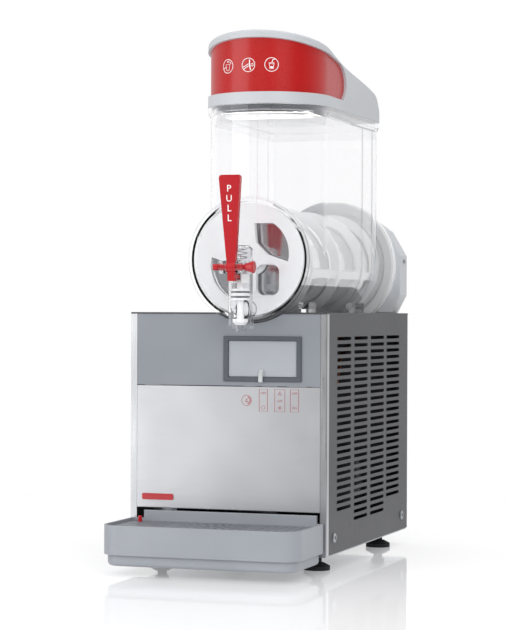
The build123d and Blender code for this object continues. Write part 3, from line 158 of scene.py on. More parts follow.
def finish(slot, title, tones, rough, texture, values=None):
    """A material with two close tones, a range of roughness and a bump, all from noise.
    texture is (size of the grain in mm, its stretch, height of the bump in mm)."""
    made, tree = blank(title)
    size, stretch, height = texture
    fine = grain(tree, size, stretch)
    broad = grain(tree, DRIFT, detail=1.0)
    bump = put(tree, "ShaderNodeBump",
               {"Height": fine, "Distance": height * MM, "Strength": 1.0})
    shader = put(tree, "ShaderNodeBsdfPrincipled", {
        "Base Color": two_tone(tree, between(tree, broad, 0, 1), *tones),
        "Roughness": between(tree, fine, *rough),
        "Normal": bump.outputs[0],
        **(values or {})})
    put(tree, "ShaderNodeOutputMaterial", {"Surface": shader.outputs[0]})
    FINISH[slot] = made


print("finish helper ready")

# %% [markdown]
# ## Brushed stainless steel
# Posts and front panel are sheet steel drawn over an abrasive belt. The belt leaves hair-fine
# parallel lines, so highlights smear across them. Real lines are 0.05 mm apart; they are drawn
# about 1 mm wide here, or they would not show. Noise stretched along the line's direction
# gives both the roughness and the bump.

# %% Steel and other metals
METAL = {"Metallic": 1.0}
finish("stainless", "stainless_sheet_brushed_across", ("#D1D2D5", "#C9CACD"),
       (0.34, 0.46), (1.3, (30, 1, 1), 0.010), METAL)
finish("post_steel", "stainless_post_brushed_upright", ("#C8C9CC", "#BCBDC0"),
       (0.26, 0.38), (1.1, (1, 1, 60), 0.006), METAL)
finish("drum_steel", "stainless_tube_polished", ("#F4F4F6", "#EAEBED"),
       (0.06, 0.14), (2.0, EVEN, 0.004), METAL)
finish("bright_steel", "steel_rod_ground", ("#D2D2D4", "#C4C5C8"),
       (0.14, 0.24), (0.8, (1, 20, 1), 0.004), METAL)
finish("zinc_steel", "steel_zinc_plated", ("#B9BCC0", "#A4A8AD"),
       (0.3, 0.46), (5.0, EVEN, 0.01), METAL)
finish("aluminium_fins", "aluminium_sheet_rolled", ("#D9DBDD", "#C6C9CC"),
       (0.28, 0.4), (2.0, (1, 1, 20), 0.006), METAL)
finish("copper", "copper_tube_drawn", ("#C98058", "#A9623F"),
       (0.2, 0.38), (9.0, EVEN, 0.01), METAL)
finish("bronze", "bronze_sintered", ("#B08948", "#8E6B35"),
       (0.4, 0.55), (0.8, EVEN, 0.02), METAL)
print(len(FINISH), "metal finishes")

# %% [markdown]
# ## Moulded plastics and paint
# ABS and nylon come out of a spark-eroded mould with a fine satin grain. The real grain is a
# third of a millimetre across; it is drawn 0.9 mm across here, or it would not show. Powder
# coat levels less than wet paint and keeps a gentle orange peel, about 1.5 mm from crest to
# crest. Gloss red parts are plain injection mouldings, with very little grain and a sharp
# highlight.

# %% Plastics and paint
SATIN = (0.9, EVEN, 0.012)
ABS = {"IOR": 1.52}
finish("grey_plastic", "ABS_moulded_light_grey", ("#C5C8CC", "#BFC2C6"),
       (0.34, 0.44), SATIN, ABS)
finish("panel_plastic", "ABS_moulded_mid_grey", ("#868A91", "#81858C"),
       (0.36, 0.46), SATIN, ABS)
finish("tray_plastic", "ABS_moulded_tray_grey", ("#94989E", "#8F9399"),
       (0.36, 0.46), SATIN, ABS)
finish("bezel_plastic", "ABS_moulded_slate", ("#4E535B", "#494E56"),
       (0.4, 0.5), SATIN, ABS)
finish("flap_plastic", "acrylic_flap_grey", ("#A6AAB0", "#A0A4AA"),
       (0.16, 0.24), (14, EVEN, 0.006), {"IOR": 1.49})
# The flap's tab is clear plastic with a satin grain. Its near-white base and half transmission are
# painted highlight, standing in for the white glints on the clear tab.
finish("tab_painted_highlight", "polycarbonate_tab_painted_highlight", ("#F6F7F8", "#EEEFF1"),
       (0.12, 0.2), (6.0, EVEN, 0.004), {"IOR": 1.5, "Transmission Weight": 0.5})
finish("grid_plastic", "ABS_moulded_grid_grey", ("#74787F", "#6C7077"),
       (0.36, 0.46), SATIN, ABS)
finish("black_plastic", "nylon_moulded_black", ("#1D1E20", "#161718"),
       (0.36, 0.5), (0.8, EVEN, 0.012))
finish("red_plastic", "acetal_moulded_red", ("#B50C1A", "#AE0B18"),
       (0.2, 0.28), (1.2, EVEN, 0.003),
       {"IOR": 1.49, "Coat Weight": 0.2, "Coat Roughness": 0.05})
finish("red_panel", "polycarbonate_sheet_printed_red", ("#B70E0D", "#B10D0C"),
       (0.26, 0.34), (1.2, EVEN, 0.002),
       {"IOR": 1.46, "Coat Weight": 0.15, "Coat Roughness": 0.12})
finish("white_plastic", "acetal_moulded_white", ("#F8F9FA", "#F2F3F4"),
       (0.26, 0.36), (3.0, EVEN, 0.010),
       {"IOR": 1.48, "Subsurface Weight": 0.1, "Subsurface Radius": (0.004, 0.004, 0.004)})
finish("gear_nylon", "nylon_moulded_natural", ("#D9D6C6", "#CFCBB8"),
       (0.4, 0.52), (1.2, EVEN, 0.012))
finish("dark_paint", "steel_powder_coated_graphite", ("#404144", "#3B3C3F"),
       (0.38, 0.5), (1.5, EVEN, 0.03), {"IOR": 1.5})
finish("black_paint", "steel_enamelled_black", ("#18191B", "#101112"),
       (0.22, 0.32), (2.0, EVEN, 0.02))
print(len(FINISH), "finishes with plastics and paint")

# %% [markdown]
# ## Rubber, board, lamp and ink
# Silicone seals are white and dull, feet and grommets are black and duller, and the plunger's
# rings are mid-grey. The circuit board is green solder mask over glass cloth, so its gloss
# follows the weave. The lamp's milky cover glows a little.

# %% Rubber, board, lamp and ink
LAMP_GLOW = 1.3
finish("white_rubber", "silicone_moulded_white", ("#DEDFE0", "#D4D5D7"),
       (0.5, 0.62), (1.2, EVEN, 0.012))
finish("black_rubber", "rubber_moulded_black", ("#1A1A1B", "#121213"),
       (0.6, 0.75), (0.8, EVEN, 0.02))
finish("ring_rubber", "rubber_o_ring_grey", ("#7C7E82", "#737579"),
       (0.4, 0.5), (1.2, EVEN, 0.008))
finish("circuit_board", "glass_epoxy_green_mask", ("#155A33", "#0F4A29"),
       (0.24, 0.4), (0.8, (1, 6, 1), 0.01))
finish("lamp", "polycarbonate_diffuser_milky", ("#F2F0E6", "#E8E6DC"),
       (0.3, 0.4), (1.0, EVEN, 0.008),
       {"Emission Color": paint("#FFFFFF"), "Emission Strength": LAMP_GLOW})
finish("ink_white", "ink_screen_printed_white", ("#FBFBFB", "#F3F3F3"),
       (0.35, 0.45), (0.7, EVEN, 0.004))
finish("ink_red", "ink_screen_printed_dull_red", ("#A4474E", "#9A3F46"),
       (0.4, 0.5), (0.7, EVEN, 0.004))
print(len(FINISH), "solid finishes")

# %% [markdown]
# ## Clear polycarbonate
# Bowl, tap and lid pan are moulded polycarbonate. Its true IOR is 1.585, but so many walls
# stand one inside another that their edges then come out too dark, so 1.42 and a thin coat are
# drawn. Flow in the mould leaves faint waves a few centimetres long. Lamps' shadow rays go
# straight through, so what is inside is lit as through thin plastic.

# %% Clear polycarbonate
FLOW = 38  # size of the mould's flow marks, mm
HAZE = 9  # size of the patches where the gloss varies a little, mm


def clear_plastic(title, tint, waves):
    """A see-through material; waves is the height of the mould's flow marks in mm."""
    made, tree = blank(title)
    flow = grain(tree, FLOW, detail=0.0)
    bump = put(tree, "ShaderNodeBump",
               {"Height": flow, "Distance": waves * MM, "Strength": 1.0})
    body = put(tree, "ShaderNodeBsdfPrincipled", {
        "Base Color": paint(tint),
        "Transmission Weight": 1.0,
        "IOR": 1.42,
        "Coat Weight": 0.4,
        "Roughness": between(tree, grain(tree, HAZE), 0.0, 0.02),
        "Normal": bump.outputs[0]})
    through = put(tree, "ShaderNodeBsdfTransparent", {"Color": paint(tint)})
    shadow = put(tree, "ShaderNodeLightPath").outputs["Is Shadow Ray"]
    mixed = put(tree, "ShaderNodeMixShader",
                {0: shadow, 1: body.outputs[0], 2: through.outputs[0]})
    put(tree, "ShaderNodeOutputMaterial", {"Surface": mixed.outputs[0]})
    return made


FINISH["clear_plastic"] = clear_plastic("polycarbonate_moulded_clear", "#FDFDFE", 0.0015)
print(len(FINISH), "finishes in all")

# %% [markdown]
# ## Finishes on the engineering pieces
# Each piece says which slot of the record its finish comes from. A few share a slot and still
# differ in grain or shade, as a post and a flat sheet do, so they are given by name.

# %% Finishes on the pieces
BY_NAME = {
    "left_corner_post": "post_steel",
    "right_corner_post": "post_steel",
    "evaporator_cylinder": "drum_steel",
    "upper_front_panel": "panel_plastic",
    "drip_tray": "tray_plastic",
    # the tab's near-white finish is painted highlight on clear plastic
    "flap_tab": "tab_painted_highlight",
    "plunger_o_rings": "ring_rubber",
}


def dress(piece, slot):
    """Give a piece one finish and no other."""
    piece.data.materials.clear()
    piece.data.materials.append(FINISH[slot])


SLOT_OF = {part["node"]: part["material_slot"] for part in frame["record"]["subparts"]}
for name, slot in SLOT_OF.items():
    dress(nodes[name], BY_NAME.get(name, slot))
print("dressed", len(SLOT_OF), "pieces")

# %% [markdown]
# ## Making meshes
# New pieces are made from corner points and faces, then ride on the body that carries them.

# %% Mesh helpers
SHARP = radians(35)  # an edge with a bend above this stays crisp


def placed(name, data):
    """A new object in the scene."""
    made = bpy.data.objects.new(name, data)
    bpy.context.scene.collection.objects.link(made)
    return made


def piece_from(name, points, faces, body, slot, smooth=True):
    """A mesh at the origin, with its doubles merged and its faces turned outwards."""
    mesh = bpy.data.meshes.new(name)
    mesh.from_pydata([tuple(p) for p in points], [], faces)
    work = bmesh.new()
    work.from_mesh(mesh)
    bmesh.ops.remove_doubles(work, verts=work.verts, dist=1e-7)
    bmesh.ops.recalc_face_normals(work, faces=work.faces)
    for edge in work.edges:
        edge.smooth = len(edge.link_faces) == 2 and edge.calc_face_angle(0) < SHARP
    for face in work.faces:
        face.smooth = smooth
    work.to_mesh(mesh)
    work.free()
    made = placed(name, mesh)
    dress(made, slot)
    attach(made, body)
    return made


def band(points, width, closed=False):
    """A flat ribbon along points in a drawing plane, as corners (u, v, lift) and faces.
    lift is 0 at the ribbon's back and 1 at its front."""
    count = len(points)
    corners, faces = [], []
    for i, here in enumerate(points):
        before = points[i - 1] if closed or i else here
        after = points[(i + 1) % count] if closed or i < count - 1 else here
        along = Vector((after[0] - before[0], after[1] - before[1])).normalized()
        side = Vector((-along.y, along.x)) * width / 2
        for sign, lift in ((1, 1), (-1, 1), (-1, 0), (1, 0)):
            corners.append((here[0] + sign * side.x, here[1] + sign * side.y, lift))
    for i in range(count if closed else count - 1):
        j = (i + 1) % count
        for k in range(4):
            faces.append((4 * i + k, 4 * i + (k + 1) % 4, 4 * j + (k + 1) % 4, 4 * j + k))
    if not closed:
        last = 4 * count - 1
        faces += [(0, 1, 2, 3), (last, last - 1, last - 2, last - 3)]
    return corners, faces


print("mesh helpers ready")

# %% [markdown]
# ## Drawing with ink
# A print is drawn flat, as strokes or as letters, and a placing function then lays each of its
# points on the real surface. The ink's back lies just inside the surface, so no gap shows.

# %% Ink helpers
INK = 0.15  # the ink's thickness, mm
SUNK = 0.05  # how far inside the surface its back lies, mm
CAP_SHARE = 0.69  # a capital's height as a share of the type's size
HALF_LIFT = 0.5  # letters reach this far each way from their middle, so lift runs from 0 to 1


def arc(u, v, radius, start=0, end=360, steps=40):
    """Points on a circle round (u, v); a full circle doesn't repeat its first point."""
    count = steps + (end - start < 360)
    turns = [radians(start + (end - start) * i / steps) for i in range(count)]
    return [(u + radius * cos(t), v + radius * sin(t)) for t in turns]


def frame_of(u, v, w, h):
    """The corners of a rectangle round (u, v)."""
    return [(u - w / 2, v - h / 2), (u + w / 2, v - h / 2),
            (u + w / 2, v + h / 2), (u - w / 2, v + h / 2)]


def shifted(points, u, v):
    return [(p[0] + u, p[1] + v) for p in points]


def printed(name, strokes, place, body, slot):
    """Ink: strokes are (points, width, closed) in mm; place puts (u, v, lift) on the surface."""
    points, faces = [], []
    for line, width, closed in strokes:
        corners, quads = band(line, width, closed)
        faces += [tuple(len(points) + i for i in quad) for quad in quads]
        points += [place(*corner) for corner in corners]
    return piece_from(name, points, faces, body, slot, smooth=False)


def lettering(name, rows, place, body, slot):
    """Letters as thin solids: rows are (text, u, v, cap height) in mm, centred on (u, v)."""
    points, faces = [], []
    for text, u, v, height in rows:
        curve = bpy.data.curves.new(name, "FONT")
        curve.body = text
        curve.align_x = "CENTER"
        curve.align_y = "CENTER"
        curve.size = height / CAP_SHARE
        curve.extrude = HALF_LIFT
        curve.resolution_u = 3
        holder = placed(name, curve)
        view = bpy.context.evaluated_depsgraph_get()
        mesh = bpy.data.meshes.new_from_object(holder.evaluated_get(view))
        bpy.data.objects.remove(holder)
        first = len(points)
        heights = [p.co.y for p in mesh.vertices]
        middle = (max(heights) + min(heights)) / 2
        points += [place(u + p.co.x, v + p.co.y - middle, HALF_LIFT + p.co.z)
                   for p in mesh.vertices]
        faces += [tuple(first + i for i in polygon.vertices) for polygon in mesh.polygons]
    return piece_from(name, points, faces, body, slot, smooth=False)


print("ink", INK, "mm thick")

# %% [markdown]
# ## Print on the lid's sign
# Three ring pictograms show how to draw a drink. They are screen-printed on the red sheet,
# which is bent round the lid's nose. They are drawn flat, and each point is then turned round
# the nose by its distance along it.

# %% Pictograms on the sign
NOSE = Vector((AXIS_X, FRONT + 75 * MM))  # centre of the round nose, seen from above
SIGN_R = 76.0  # radius of the sheet's outer face, mm
RING_R = 8.5
RING_V = 308.3  # the rings' height above the deck, mm
RING_X = (-3.5, 26.2, 55.3)  # the rings' places across the machine, mm


def on_nose(u, v, lift):
    radius = (SIGN_R - SUNK + lift * INK) * MM
    return (NOSE.x + radius * sin(u / SIGN_R), NOSE.y - radius * cos(u / SIGN_R), DECK + v * MM)


CUP = ([(-3.2, 2.4), (-2.1, -5.2), (2.1, -5.2), (3.2, 2.4)], 0.7, True)
PICTOGRAMS = [
    [CUP,
     ([(-7.4, -3.6), (-4.6, -1.2), (-2.9, -1.6)], 0.8, False),
     ([(0, 6.8), (0, 4.6)], 1.6, False),
     ([(2.8, 5.6), (5.4, 2.4)], 0.7, False)],
    [([(1.6, 6.6), (1.6, 0.4), (2.8, -6.2)], 1.3, False),
     ([(-7.2, -2.6), (-3.4, -0.6), (0.6, 1.4)], 0.8, False),
     ([(-6.2, -5.2), (-3.0, -3.0), (0.8, -1.0)], 0.8, False),
     (arc(5, 0, 1.6, steps=12), 0.6, True)],
    [CUP,
     ([(0.4, 2.4), (1.6, 6.2), (4.4, 6.8)], 0.9, False),
     ([(-2.6, 0.6), (-0.9, 1.3), (0.9, 0.6), (2.6, 1.3)], 0.6, False),
     ([(-1.6, -3.4), (1.6, -3.4)], 2.2, False)],
]
sign_strokes = []
for x, picture in zip(RING_X, PICTOGRAMS):
    along_nose = SIGN_R * asin((x - AXIS_U) / SIGN_R)
    sign_strokes.append((arc(along_nose, RING_V, RING_R), 0.75, True))
    sign_strokes += [(shifted(line, along_nose, RING_V), width, closed)
                     for line, width, closed in picture]
printed("sign_pictograms", sign_strokes, on_nose, "lid", "ink_white")
print("strokes on the sign:", len(sign_strokes))

# %% [markdown]
# ## Print on the steel
# Under the flap the steel carries a key to the switches behind it: a dial with drops, and
# three frames with OFF and ON. Most lines are 0.5 to 0.7 mm wide, in dull red ink; the dial's
# arc is bolder.

# %% Key to the switches
DIAL_U, DIAL_V = 25.4, -109.5  # from the cabinet's middle and from the deck, mm
LAMP_U, MODE_U, POWER_U = 47.3, 68.8, 87.9  # the three frames
KEY_V = -109.2
NARROW, WIDE, TALL = 10.6, 13.2, 27.6  # sizes of the frames, mm
ROW = 9  # from a frame's middle to its upper or lower sign, mm
WORD_H = 2.9  # cap height of OFF and ON, mm
RAY = 3  # half the length of a star's ray, mm


def on_steel(u, v, lift):
    return (u * MM, FRONT + SUNK * MM - lift * INK * MM, DECK + v * MM)


def drop(u, v):
    return (arc(u, v, 0.75, steps=10), 0.6, True)


key = [(arc(DIAL_U, DIAL_V, 6.5), 0.6, True),
       (arc(DIAL_U, DIAL_V, 4.7, -75, 75, 16), 1.3, False),
       drop(24.2, -110.9), drop(26.6, -110.9), drop(25.4, -108.4)]
for u, w in ((LAMP_U, NARROW), (MODE_U, WIDE), (POWER_U, NARROW)):
    key.append((frame_of(u, KEY_V, w, TALL), 0.7, True))
key.append((arc(LAMP_U, KEY_V - ROW, 2.2, steps=16), 0.5, True))
for u, v in ((67.4, 7.6), (70.2, 7.6), (68.8, 10.2)):
    key.append(drop(u, KEY_V + v))
for turn in range(0, 180, 60):
    dx, dv = RAY * cos(radians(turn)), RAY * sin(radians(turn))
    key.append(([(MODE_U - dx, KEY_V - ROW - dv), (MODE_U + dx, KEY_V - ROW + dv)], 0.5, False))
printed("switch_key", key, on_steel, "cabinet", "ink_red")
lettering("switch_words",
          [("OFF", LAMP_U, KEY_V + ROW, WORD_H), ("OFF", MODE_U, KEY_V - 0.6, WORD_H),
           ("OFF", POWER_U, KEY_V + ROW, WORD_H), ("ON", POWER_U, KEY_V - ROW, WORD_H)],
          on_steel, "cabinet", "ink_red")
print("strokes on the steel:", len(key))

# %% [markdown]
# ## The word on the lever
# PULL stands down the lever in raised white letters. The lever leans a little towards the
# user, so the word lies in the lever's own plane and rides with it.

# %% PULL
LEAN = radians(3.6)
LEVER_FACE = 4.0  # half the lever's thickness, mm
RAISED = 0.3  # the letters' thickness, mm
LETTER_U, LETTER_H = -0.8, 8.0  # the letters' middle, across the lever, and their height, mm
LETTER_V = (95.6, 83.5, 71.7, 59.8)  # each letter's height above the pivot, mm


def on_lever(u, v, lift):
    out = (LEVER_FACE - SUNK + lift * RAISED) * MM
    return (PIVOT.x + u * MM, PIVOT.y - v * MM * sin(LEAN) - out * cos(LEAN),
            PIVOT.z + v * MM * cos(LEAN) - out * sin(LEAN))


lettering("lever_word",
          [(letter, LETTER_U, v, LETTER_H) for letter, v in zip("PULL", LETTER_V)],
          on_lever, "handle", "ink_white")
print("letters on the lever:", len(LETTER_V))

# %% [markdown]
# ## Geometry Nodes helpers
# Two things below repeat a wire shape, so Geometry Nodes draws them. Each tree takes points,
# a few numbers and a material, and its result is kept as a plain mesh.

# %% Geometry Nodes helpers
def new_tree(name, numbers):
    """A node group that takes points, numbers and a material, and gives a mesh back."""
    tree = bpy.data.node_groups.new(name, "GeometryNodeTree")
    face = tree.interface
    face.new_socket("Geometry", in_out="INPUT", socket_type="NodeSocketGeometry")
    for number in numbers:
        face.new_socket(number, in_out="INPUT", socket_type="NodeSocketFloat")
    face.new_socket("Material", in_out="INPUT", socket_type="NodeSocketMaterial")
    face.new_socket("Geometry", in_out="OUTPUT", socket_type="NodeSocketGeometry")
    return tree, put(tree, "NodeGroupInput").outputs


def circle(tree, resolution, radius):
    return put(tree, "GeometryNodeCurvePrimitiveCircle",
               {"Resolution": resolution, "Radius": radius}).outputs[0]


def swept(tree, path, wire, capped):
    """A wire's round section carried along a curve."""
    return put(tree, "GeometryNodeCurveToMesh",
               {"Curve": path, "Profile Curve": wire, "Fill Caps": capped}).outputs[0]


def on_points(tree, points, shape):
    """One real copy of a shape at each point."""
    copies = put(tree, "GeometryNodeInstanceOnPoints", {"Points": points, "Instance": shape})
    return put(tree, "GeometryNodeRealizeInstances", {"Geometry": copies.outputs[0]}).outputs[0]


def give_back(tree, shape, material):
    """Shade the mesh smooth, give it its material and hand it to the group's output."""
    smooth = put(tree, "GeometryNodeSetShadeSmooth", {"Geometry": shape})
    dressed = put(tree, "GeometryNodeSetMaterial",
                  {"Geometry": smooth.outputs[0], "Material": material})
    put(tree, "NodeGroupOutput", {"Geometry": dressed.outputs[0]})


def grown(name, points, attributes, tree, settings, body):
    """Run a tree on a cloud of points that carry attributes, and keep a plain mesh."""
    seed = bpy.data.meshes.new(name + "_points")
    seed.from_pydata(points, [], [])
    for key, values in attributes.items():
        seed.attributes.new(key, "FLOAT", "POINT").data.foreach_set("value", values)
    made = placed(name, seed)
    step = made.modifiers.new(name, "NODES")
    step.node_group = tree
    for socket in tree.interface.items_tree:
        if socket.in_out == "INPUT" and socket.name in settings:
            step[socket.identifier] = settings[socket.name]
    view = bpy.context.evaluated_depsgraph_get()
    mesh = bpy.data.meshes.new_from_object(made.evaluated_get(view))
    made.modifiers.clear()
    made.data = mesh
    mesh.name = name
    for extra in [a.name for a in mesh.attributes if a.name in ("quarter", *attributes)]:
        mesh.attributes.remove(mesh.attributes[extra])
    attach(made, body)
    print(name, len(mesh.polygons), "faces")
    return made


print("Geometry Nodes helpers ready")

# %% [markdown]
# ## Rolled edges of the louvres
# Each cabinet side has about a hundred slots, punched and then pressed so that their edges
# roll outwards a little. The roll is what catches light. One ring is drawn once and copied to
# a point at each slot. Its four quarters are then parted by the slots' height and by each
# slot's own length, so one ring serves all.

# %% Louvre rolls
LOUVRE_H, LOUVRE_CORNER = 4.5, 1.8  # a slot's height and its corner radius, mm
LOUVRE_TOP, LOUVRE_PITCH = -32.5, 8.9  # the top row, from the deck, and the step down, mm
LOUVRE_COLUMNS = [(74.5, 61, 25), (151.5, 61, 27), (230.5, 65, 27), (309.5, 65, 25)]
ROLL_R = 0.35  # mm
OUTSIDE = 0.25  # from a slot's edge out to the roll's middle, mm


def louvre_tree():
    tree, given = new_tree("louvre_rolls", ("Slot height", "Corner", "Roll"))
    upright = put(tree, "GeometryNodeTransform",
                  {"Geometry": circle(tree, 16, given["Corner"]), "Rotation": (0, radians(90), 0)})
    position = put(tree, "GeometryNodeInputPosition").outputs[0]
    place = put(tree, "ShaderNodeSeparateXYZ", {0: position}).outputs
    quarter = put(tree, "ShaderNodeCombineXYZ", {"Y": maths(tree, "SIGN", place["Y"]),
                                                 "Z": maths(tree, "SIGN", place["Z"])})
    marked = put(tree, "GeometryNodeStoreNamedAttribute",
                 {"Geometry": upright.outputs[0], "Name": "quarter", "Value": quarter.outputs[0]},
                 data_type="FLOAT_VECTOR", domain="POINT")
    ring = swept(tree, marked.outputs[0], circle(tree, 6, given["Roll"]), False)
    rings = on_points(tree, given["Geometry"], ring)
    way = put(tree, "GeometryNodeInputNamedAttribute", {"Name": "quarter"},
              data_type="FLOAT_VECTOR").outputs[0]
    length = put(tree, "GeometryNodeInputNamedAttribute", {"Name": "slot_length"},
                 data_type="FLOAT").outputs[0]
    halves = [maths(tree, "SUBTRACT", maths(tree, "MULTIPLY", span, 0.5), given["Corner"])
              for span in (length, given["Slot height"])]
    reach = put(tree, "ShaderNodeCombineXYZ", {"Y": halves[0], "Z": halves[1]}).outputs[0]
    offset = put(tree, "ShaderNodeVectorMath", {0: way, 1: reach}, operation="MULTIPLY")
    parted = put(tree, "GeometryNodeSetPosition",
                 {"Geometry": rings, "Offset": offset.outputs[0]})
    give_back(tree, parted.outputs[0], given["Material"])
    return tree


slot_points, slot_lengths = [], []
for side in (-1, 1):
    for middle, length, count in LOUVRE_COLUMNS:  # from the front, mm; slot length; rows
        for row in range(count):
            slot_points.append((side * HALF_WIDTH, FRONT + middle * MM,
                                DECK + (LOUVRE_TOP - row * LOUVRE_PITCH) * MM))
            slot_lengths.append((length + 2 * OUTSIDE) * MM)
grown("louvre_rolls", slot_points, {"slot_length": slot_lengths}, louvre_tree(),
      {"Slot height": (LOUVRE_H + 2 * OUTSIDE) * MM, "Corner": (LOUVRE_CORNER + OUTSIDE) * MM,
       "Roll": ROLL_R * MM, "Material": FINISH["dark_paint"]},
      "cabinet")

# %% [markdown]
# ## Return spring
# The spring over the tap's plunger is one helix of ground wire, drawn from its turns, its coil
# radius, its length and its wire.

# %% Return spring
TURNS = 5.0
WIRE_R = 0.6 * MM


def spring_tree():
    tree, given = new_tree("coil_spring", ("Turns", "Coil radius", "Length", "Wire radius"))
    coil = put(tree, "GeometryNodeCurveSpiral", {
        "Resolution": 32,
        "Rotations": given["Turns"],
        "Start Radius": given["Coil radius"],
        "End Radius": given["Coil radius"],
        "Height": given["Length"]})
    wire = circle(tree, 10, given["Wire radius"])
    spring = swept(tree, coil.outputs[0], wire, True)
    give_back(tree, on_points(tree, given["Geometry"], spring), given["Material"])
    return tree


low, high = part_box("tap_spring")
middle = (low + high) / 2
spring_length = high.z - low.z
spring = grown("return_spring", [(middle.x, middle.y, low.z + WIRE_R)], {}, spring_tree(),
               {"Turns": TURNS, "Coil radius": (high.x - low.x) / 2 - WIRE_R,
                "Wire radius": WIRE_R, "Length": spring_length - 2 * WIRE_R,
                "Material": FINISH["bright_steel"]},
               "bowl")
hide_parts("tap_spring")
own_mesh(spring)

# %% [markdown]
# ## Floor
# A pale glossy table top. Its gloss gives the faint reflection under the machine. It fades to
# nothing away from the machine, so no horizon cuts the picture.

# %% Floor
FLOOR_R = 1.2
FLOOR_Z = -0.0002  # just under the feet
FADE_START, FADE_END = 0.35, 1.1  # metres from the middle
SIDES = 64


def floor_finish():
    made, tree = blank("table_top_gloss_white")
    shader = put(tree, "ShaderNodeBsdfPrincipled", {
        "Base Color": paint("#E4E4E6"),
        "Roughness": 0.05,
        "IOR": 1.75,
        "Emission Color": (1, 1, 1, 1),
        "Emission Strength": 0.22})
    place = put(tree, "ShaderNodeTexCoord").outputs["Object"]
    away = put(tree, "ShaderNodeVectorMath", {0: place}, operation="LENGTH").outputs["Value"]
    fade = ramp(tree, away, FADE_START, FADE_END, 0.0, 1.0)
    clear = put(tree, "ShaderNodeBsdfTransparent")
    mixed = put(tree, "ShaderNodeMixShader", {0: fade, 1: shader.outputs[0], 2: clear.outputs[0]})
    put(tree, "ShaderNodeOutputMaterial", {"Surface": mixed.outputs[0]})
    return made


floor_mesh = bpy.data.meshes.new("floor")
ring = [(FLOOR_R * cos(2 * pi * i / SIDES), FLOOR_R * sin(2 * pi * i / SIDES), FLOOR_Z)
        for i in range(SIDES)]
floor_mesh.from_pydata(ring, [], [tuple(range(SIDES))])
floor = placed("floor", floor_mesh)
floor.data.materials.append(floor_finish())
print("floor", FLOOR_R, "m in radius")

# %% [markdown]
# ## Light
# Clear plastic is drawn by what it shows of its surround: white makes it vanish and darker
# flanks draw its edges. So the sky answers each kind of ray by itself.
#
# - Seen directly, it is plain white.
# - Seen through clear plastic, it is bright before and behind and grey to the sides. Once the
#   light has been mirrored on its way, it is dim in front.
# - To all else it is dim in front, bright behind and bright overhead.
#
# A large soft box at the left draws the bright stripe down the hopper's nose. The other three
# only fill, so they are left out of mirror images.

# %% Sky
FLANK = 0.5  # the room at the sides, seen through clear plastic
ROOM = 0.28  # the room in front of the machine, as gloss mirrors it
REAR = 0.8  # the room behind the machine, as gloss mirrors it
CEILING = 0.95
BACKLIGHT = 1.12  # behind the machine, seen through clear plastic
RIGHT = (0.9463, 0.3233, 0)  # level, to the camera's right
AHEAD = (-0.3233, 0.9463, 0)  # level, away from the camera
TO_FLANK = (0.5, 0.95)  # where bright turns to grey, as a share of straight sideways
TO_BRIGHT = (-0.35, 0.2)  # where dim turns to bright, as a share of straight ahead
TO_MIRRORED = (-0.6, 0.5)  # the same for all that isn't seen through plastic
TO_CEILING = (0.25, 0.75)  # where the ceiling begins and where it is whole


def towards(tree, place, direction):
    """How far the sky's direction agrees with another, from -1 to 1."""
    return put(tree, "ShaderNodeVectorMath", {0: place, 1: direction},
               operation="DOT_PRODUCT").outputs["Value"]


def white(tree, strength):
    return put(tree, "ShaderNodeBackground",
               {"Color": (1, 1, 1, 1), "Strength": strength}).outputs[0]


def sky():
    world = bpy.data.worlds.new("studio")
    bpy.context.scene.world = world
    world.use_nodes = True
    tree = world.node_tree
    tree.nodes.clear()
    place = put(tree, "ShaderNodeTexCoord").outputs["Generated"]
    height = put(tree, "ShaderNodeSeparateXYZ", {0: place}).outputs["Z"]
    flank = maths(tree, "ABSOLUTE", towards(tree, place, RIGHT))
    ahead = towards(tree, place, AHEAD)
    path = put(tree, "ShaderNodeLightPath").outputs

    through = ramp(tree, flank, *TO_FLANK, BACKLIGHT, FLANK, interpolation_type="SMOOTHSTEP")
    front = ramp(tree, ahead, *TO_BRIGHT, ROOM, 1.0)
    turned = maths(tree, "GREATER_THAN", path["Glossy Depth"], 0.5)
    dimmed = put(tree, "ShaderNodeMix", {0: turned, 2: 1.0, 3: front}, data_type="FLOAT")
    behind = white(tree, maths(tree, "MULTIPLY", through, dimmed.outputs[0]))

    mirrored = ramp(tree, ahead, *TO_MIRRORED, ROOM, REAR, interpolation_type="SMOOTHSTEP")
    high = ramp(tree, height, *TO_CEILING, 0.0, CEILING)
    lit = white(tree, maths(tree, "MAXIMUM", mirrored, high))

    bent = put(tree, "ShaderNodeMixShader", {0: path["Is Transmission Ray"], 1: lit, 2: behind})
    mixed = put(tree, "ShaderNodeMixShader",
                {0: path["Is Camera Ray"], 1: bent.outputs[0], 2: white(tree, 1.0)})
    put(tree, "ShaderNodeOutputWorld", {"Surface": mixed.outputs[0]})


sky()
print("sky", bpy.context.scene.world.name)

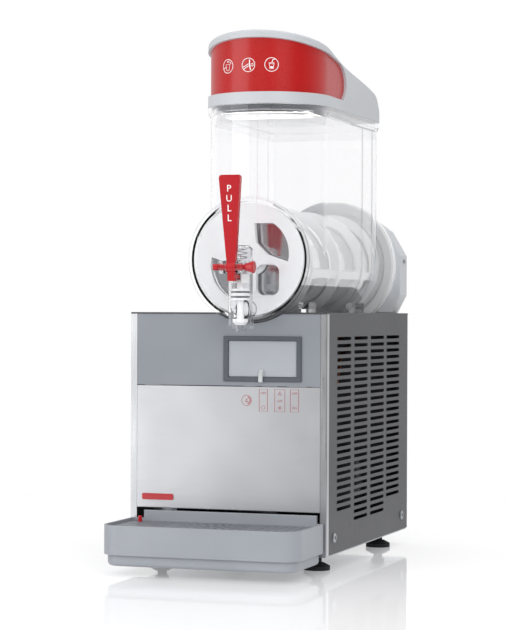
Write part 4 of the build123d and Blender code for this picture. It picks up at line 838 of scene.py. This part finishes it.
# %% Soft boxes
def soft_box(name, place, aim, size, power, mirrored=True):
    """A rectangular light: places and its width and height in metres, power in watts."""
    lamp = bpy.data.lights.new(name, "AREA")
    lamp.shape = "RECTANGLE"
    lamp.size, lamp.size_y = size
    lamp.energy = power
    holder = placed(name, lamp)
    holder.location = place
    holder.rotation_euler = (Vector(aim) - Vector(place)).to_track_quat("-Z", "Y").to_euler()
    holder.visible_glossy = mirrored
    holder.visible_transmission = False


soft_box("strip_left", (-1.10, -1.35, 0.62), (0.03, -0.07, 0.62), (1.15, 1.7), 12)
soft_box("fill_right", (1.3, -1.5, 0.8), (0.1, 0, 0.2), (1.0, 1.2), 16, mirrored=False)
soft_box("fill_front", (0.0, -2.2, 0.9), (0.03, 0, 0.4), (1.2, 1.2), 8, mirrored=False)
soft_box("top", (0.1, 0.1, 1.9), (0, 0, 0.3), (1.4, 1.4), 8, mirrored=False)
print(len(bpy.data.lights), "soft boxes")

# %% [markdown]
# ## Camera
# A long lens stands at the height of the cabinet's top, to the machine's right, and looks
# level. Light turns many times inside clear walls, so Cycles is allowed many bounces.

# %% Camera
FOCAL, SENSOR = 121.74, 36.0  # mm
CAMERA_AT = Vector((0.8901, FRONT - 2.5095, 0.3207))
BEARING = 18.864  # degrees by which the view swings to the left
TILT, ROLL = -0.04, 0.226  # degrees

lens = bpy.data.cameras.new("camera")
lens.lens = FOCAL
lens.sensor_width = SENSOR
lens.clip_start = 0.05
camera = placed("camera", lens)
away = radians(90 - BEARING)
view_line = Vector((-cos(away), sin(away), 0))
upright = Matrix(((sin(away), 0, -view_line.x), (cos(away), 0, -view_line.y), (0, 1, 0))).to_4x4()
camera.matrix_world = (Matrix.Translation(CAMERA_AT) @ upright
                       @ Matrix.Rotation(radians(TILT), 4, "X")
                       @ Matrix.Rotation(radians(ROLL), 4, "Z"))

scene = bpy.context.scene
scene.camera = camera
scene.view_settings.view_transform = "Standard"
scene.cycles.transparent_max_bounces = 32
scene.cycles.max_bounces = 24
scene.cycles.transmission_bounces = 24
scene.cycles.glossy_bounces = 12
print("camera looks along", [round(v, 4) for v in view_line])
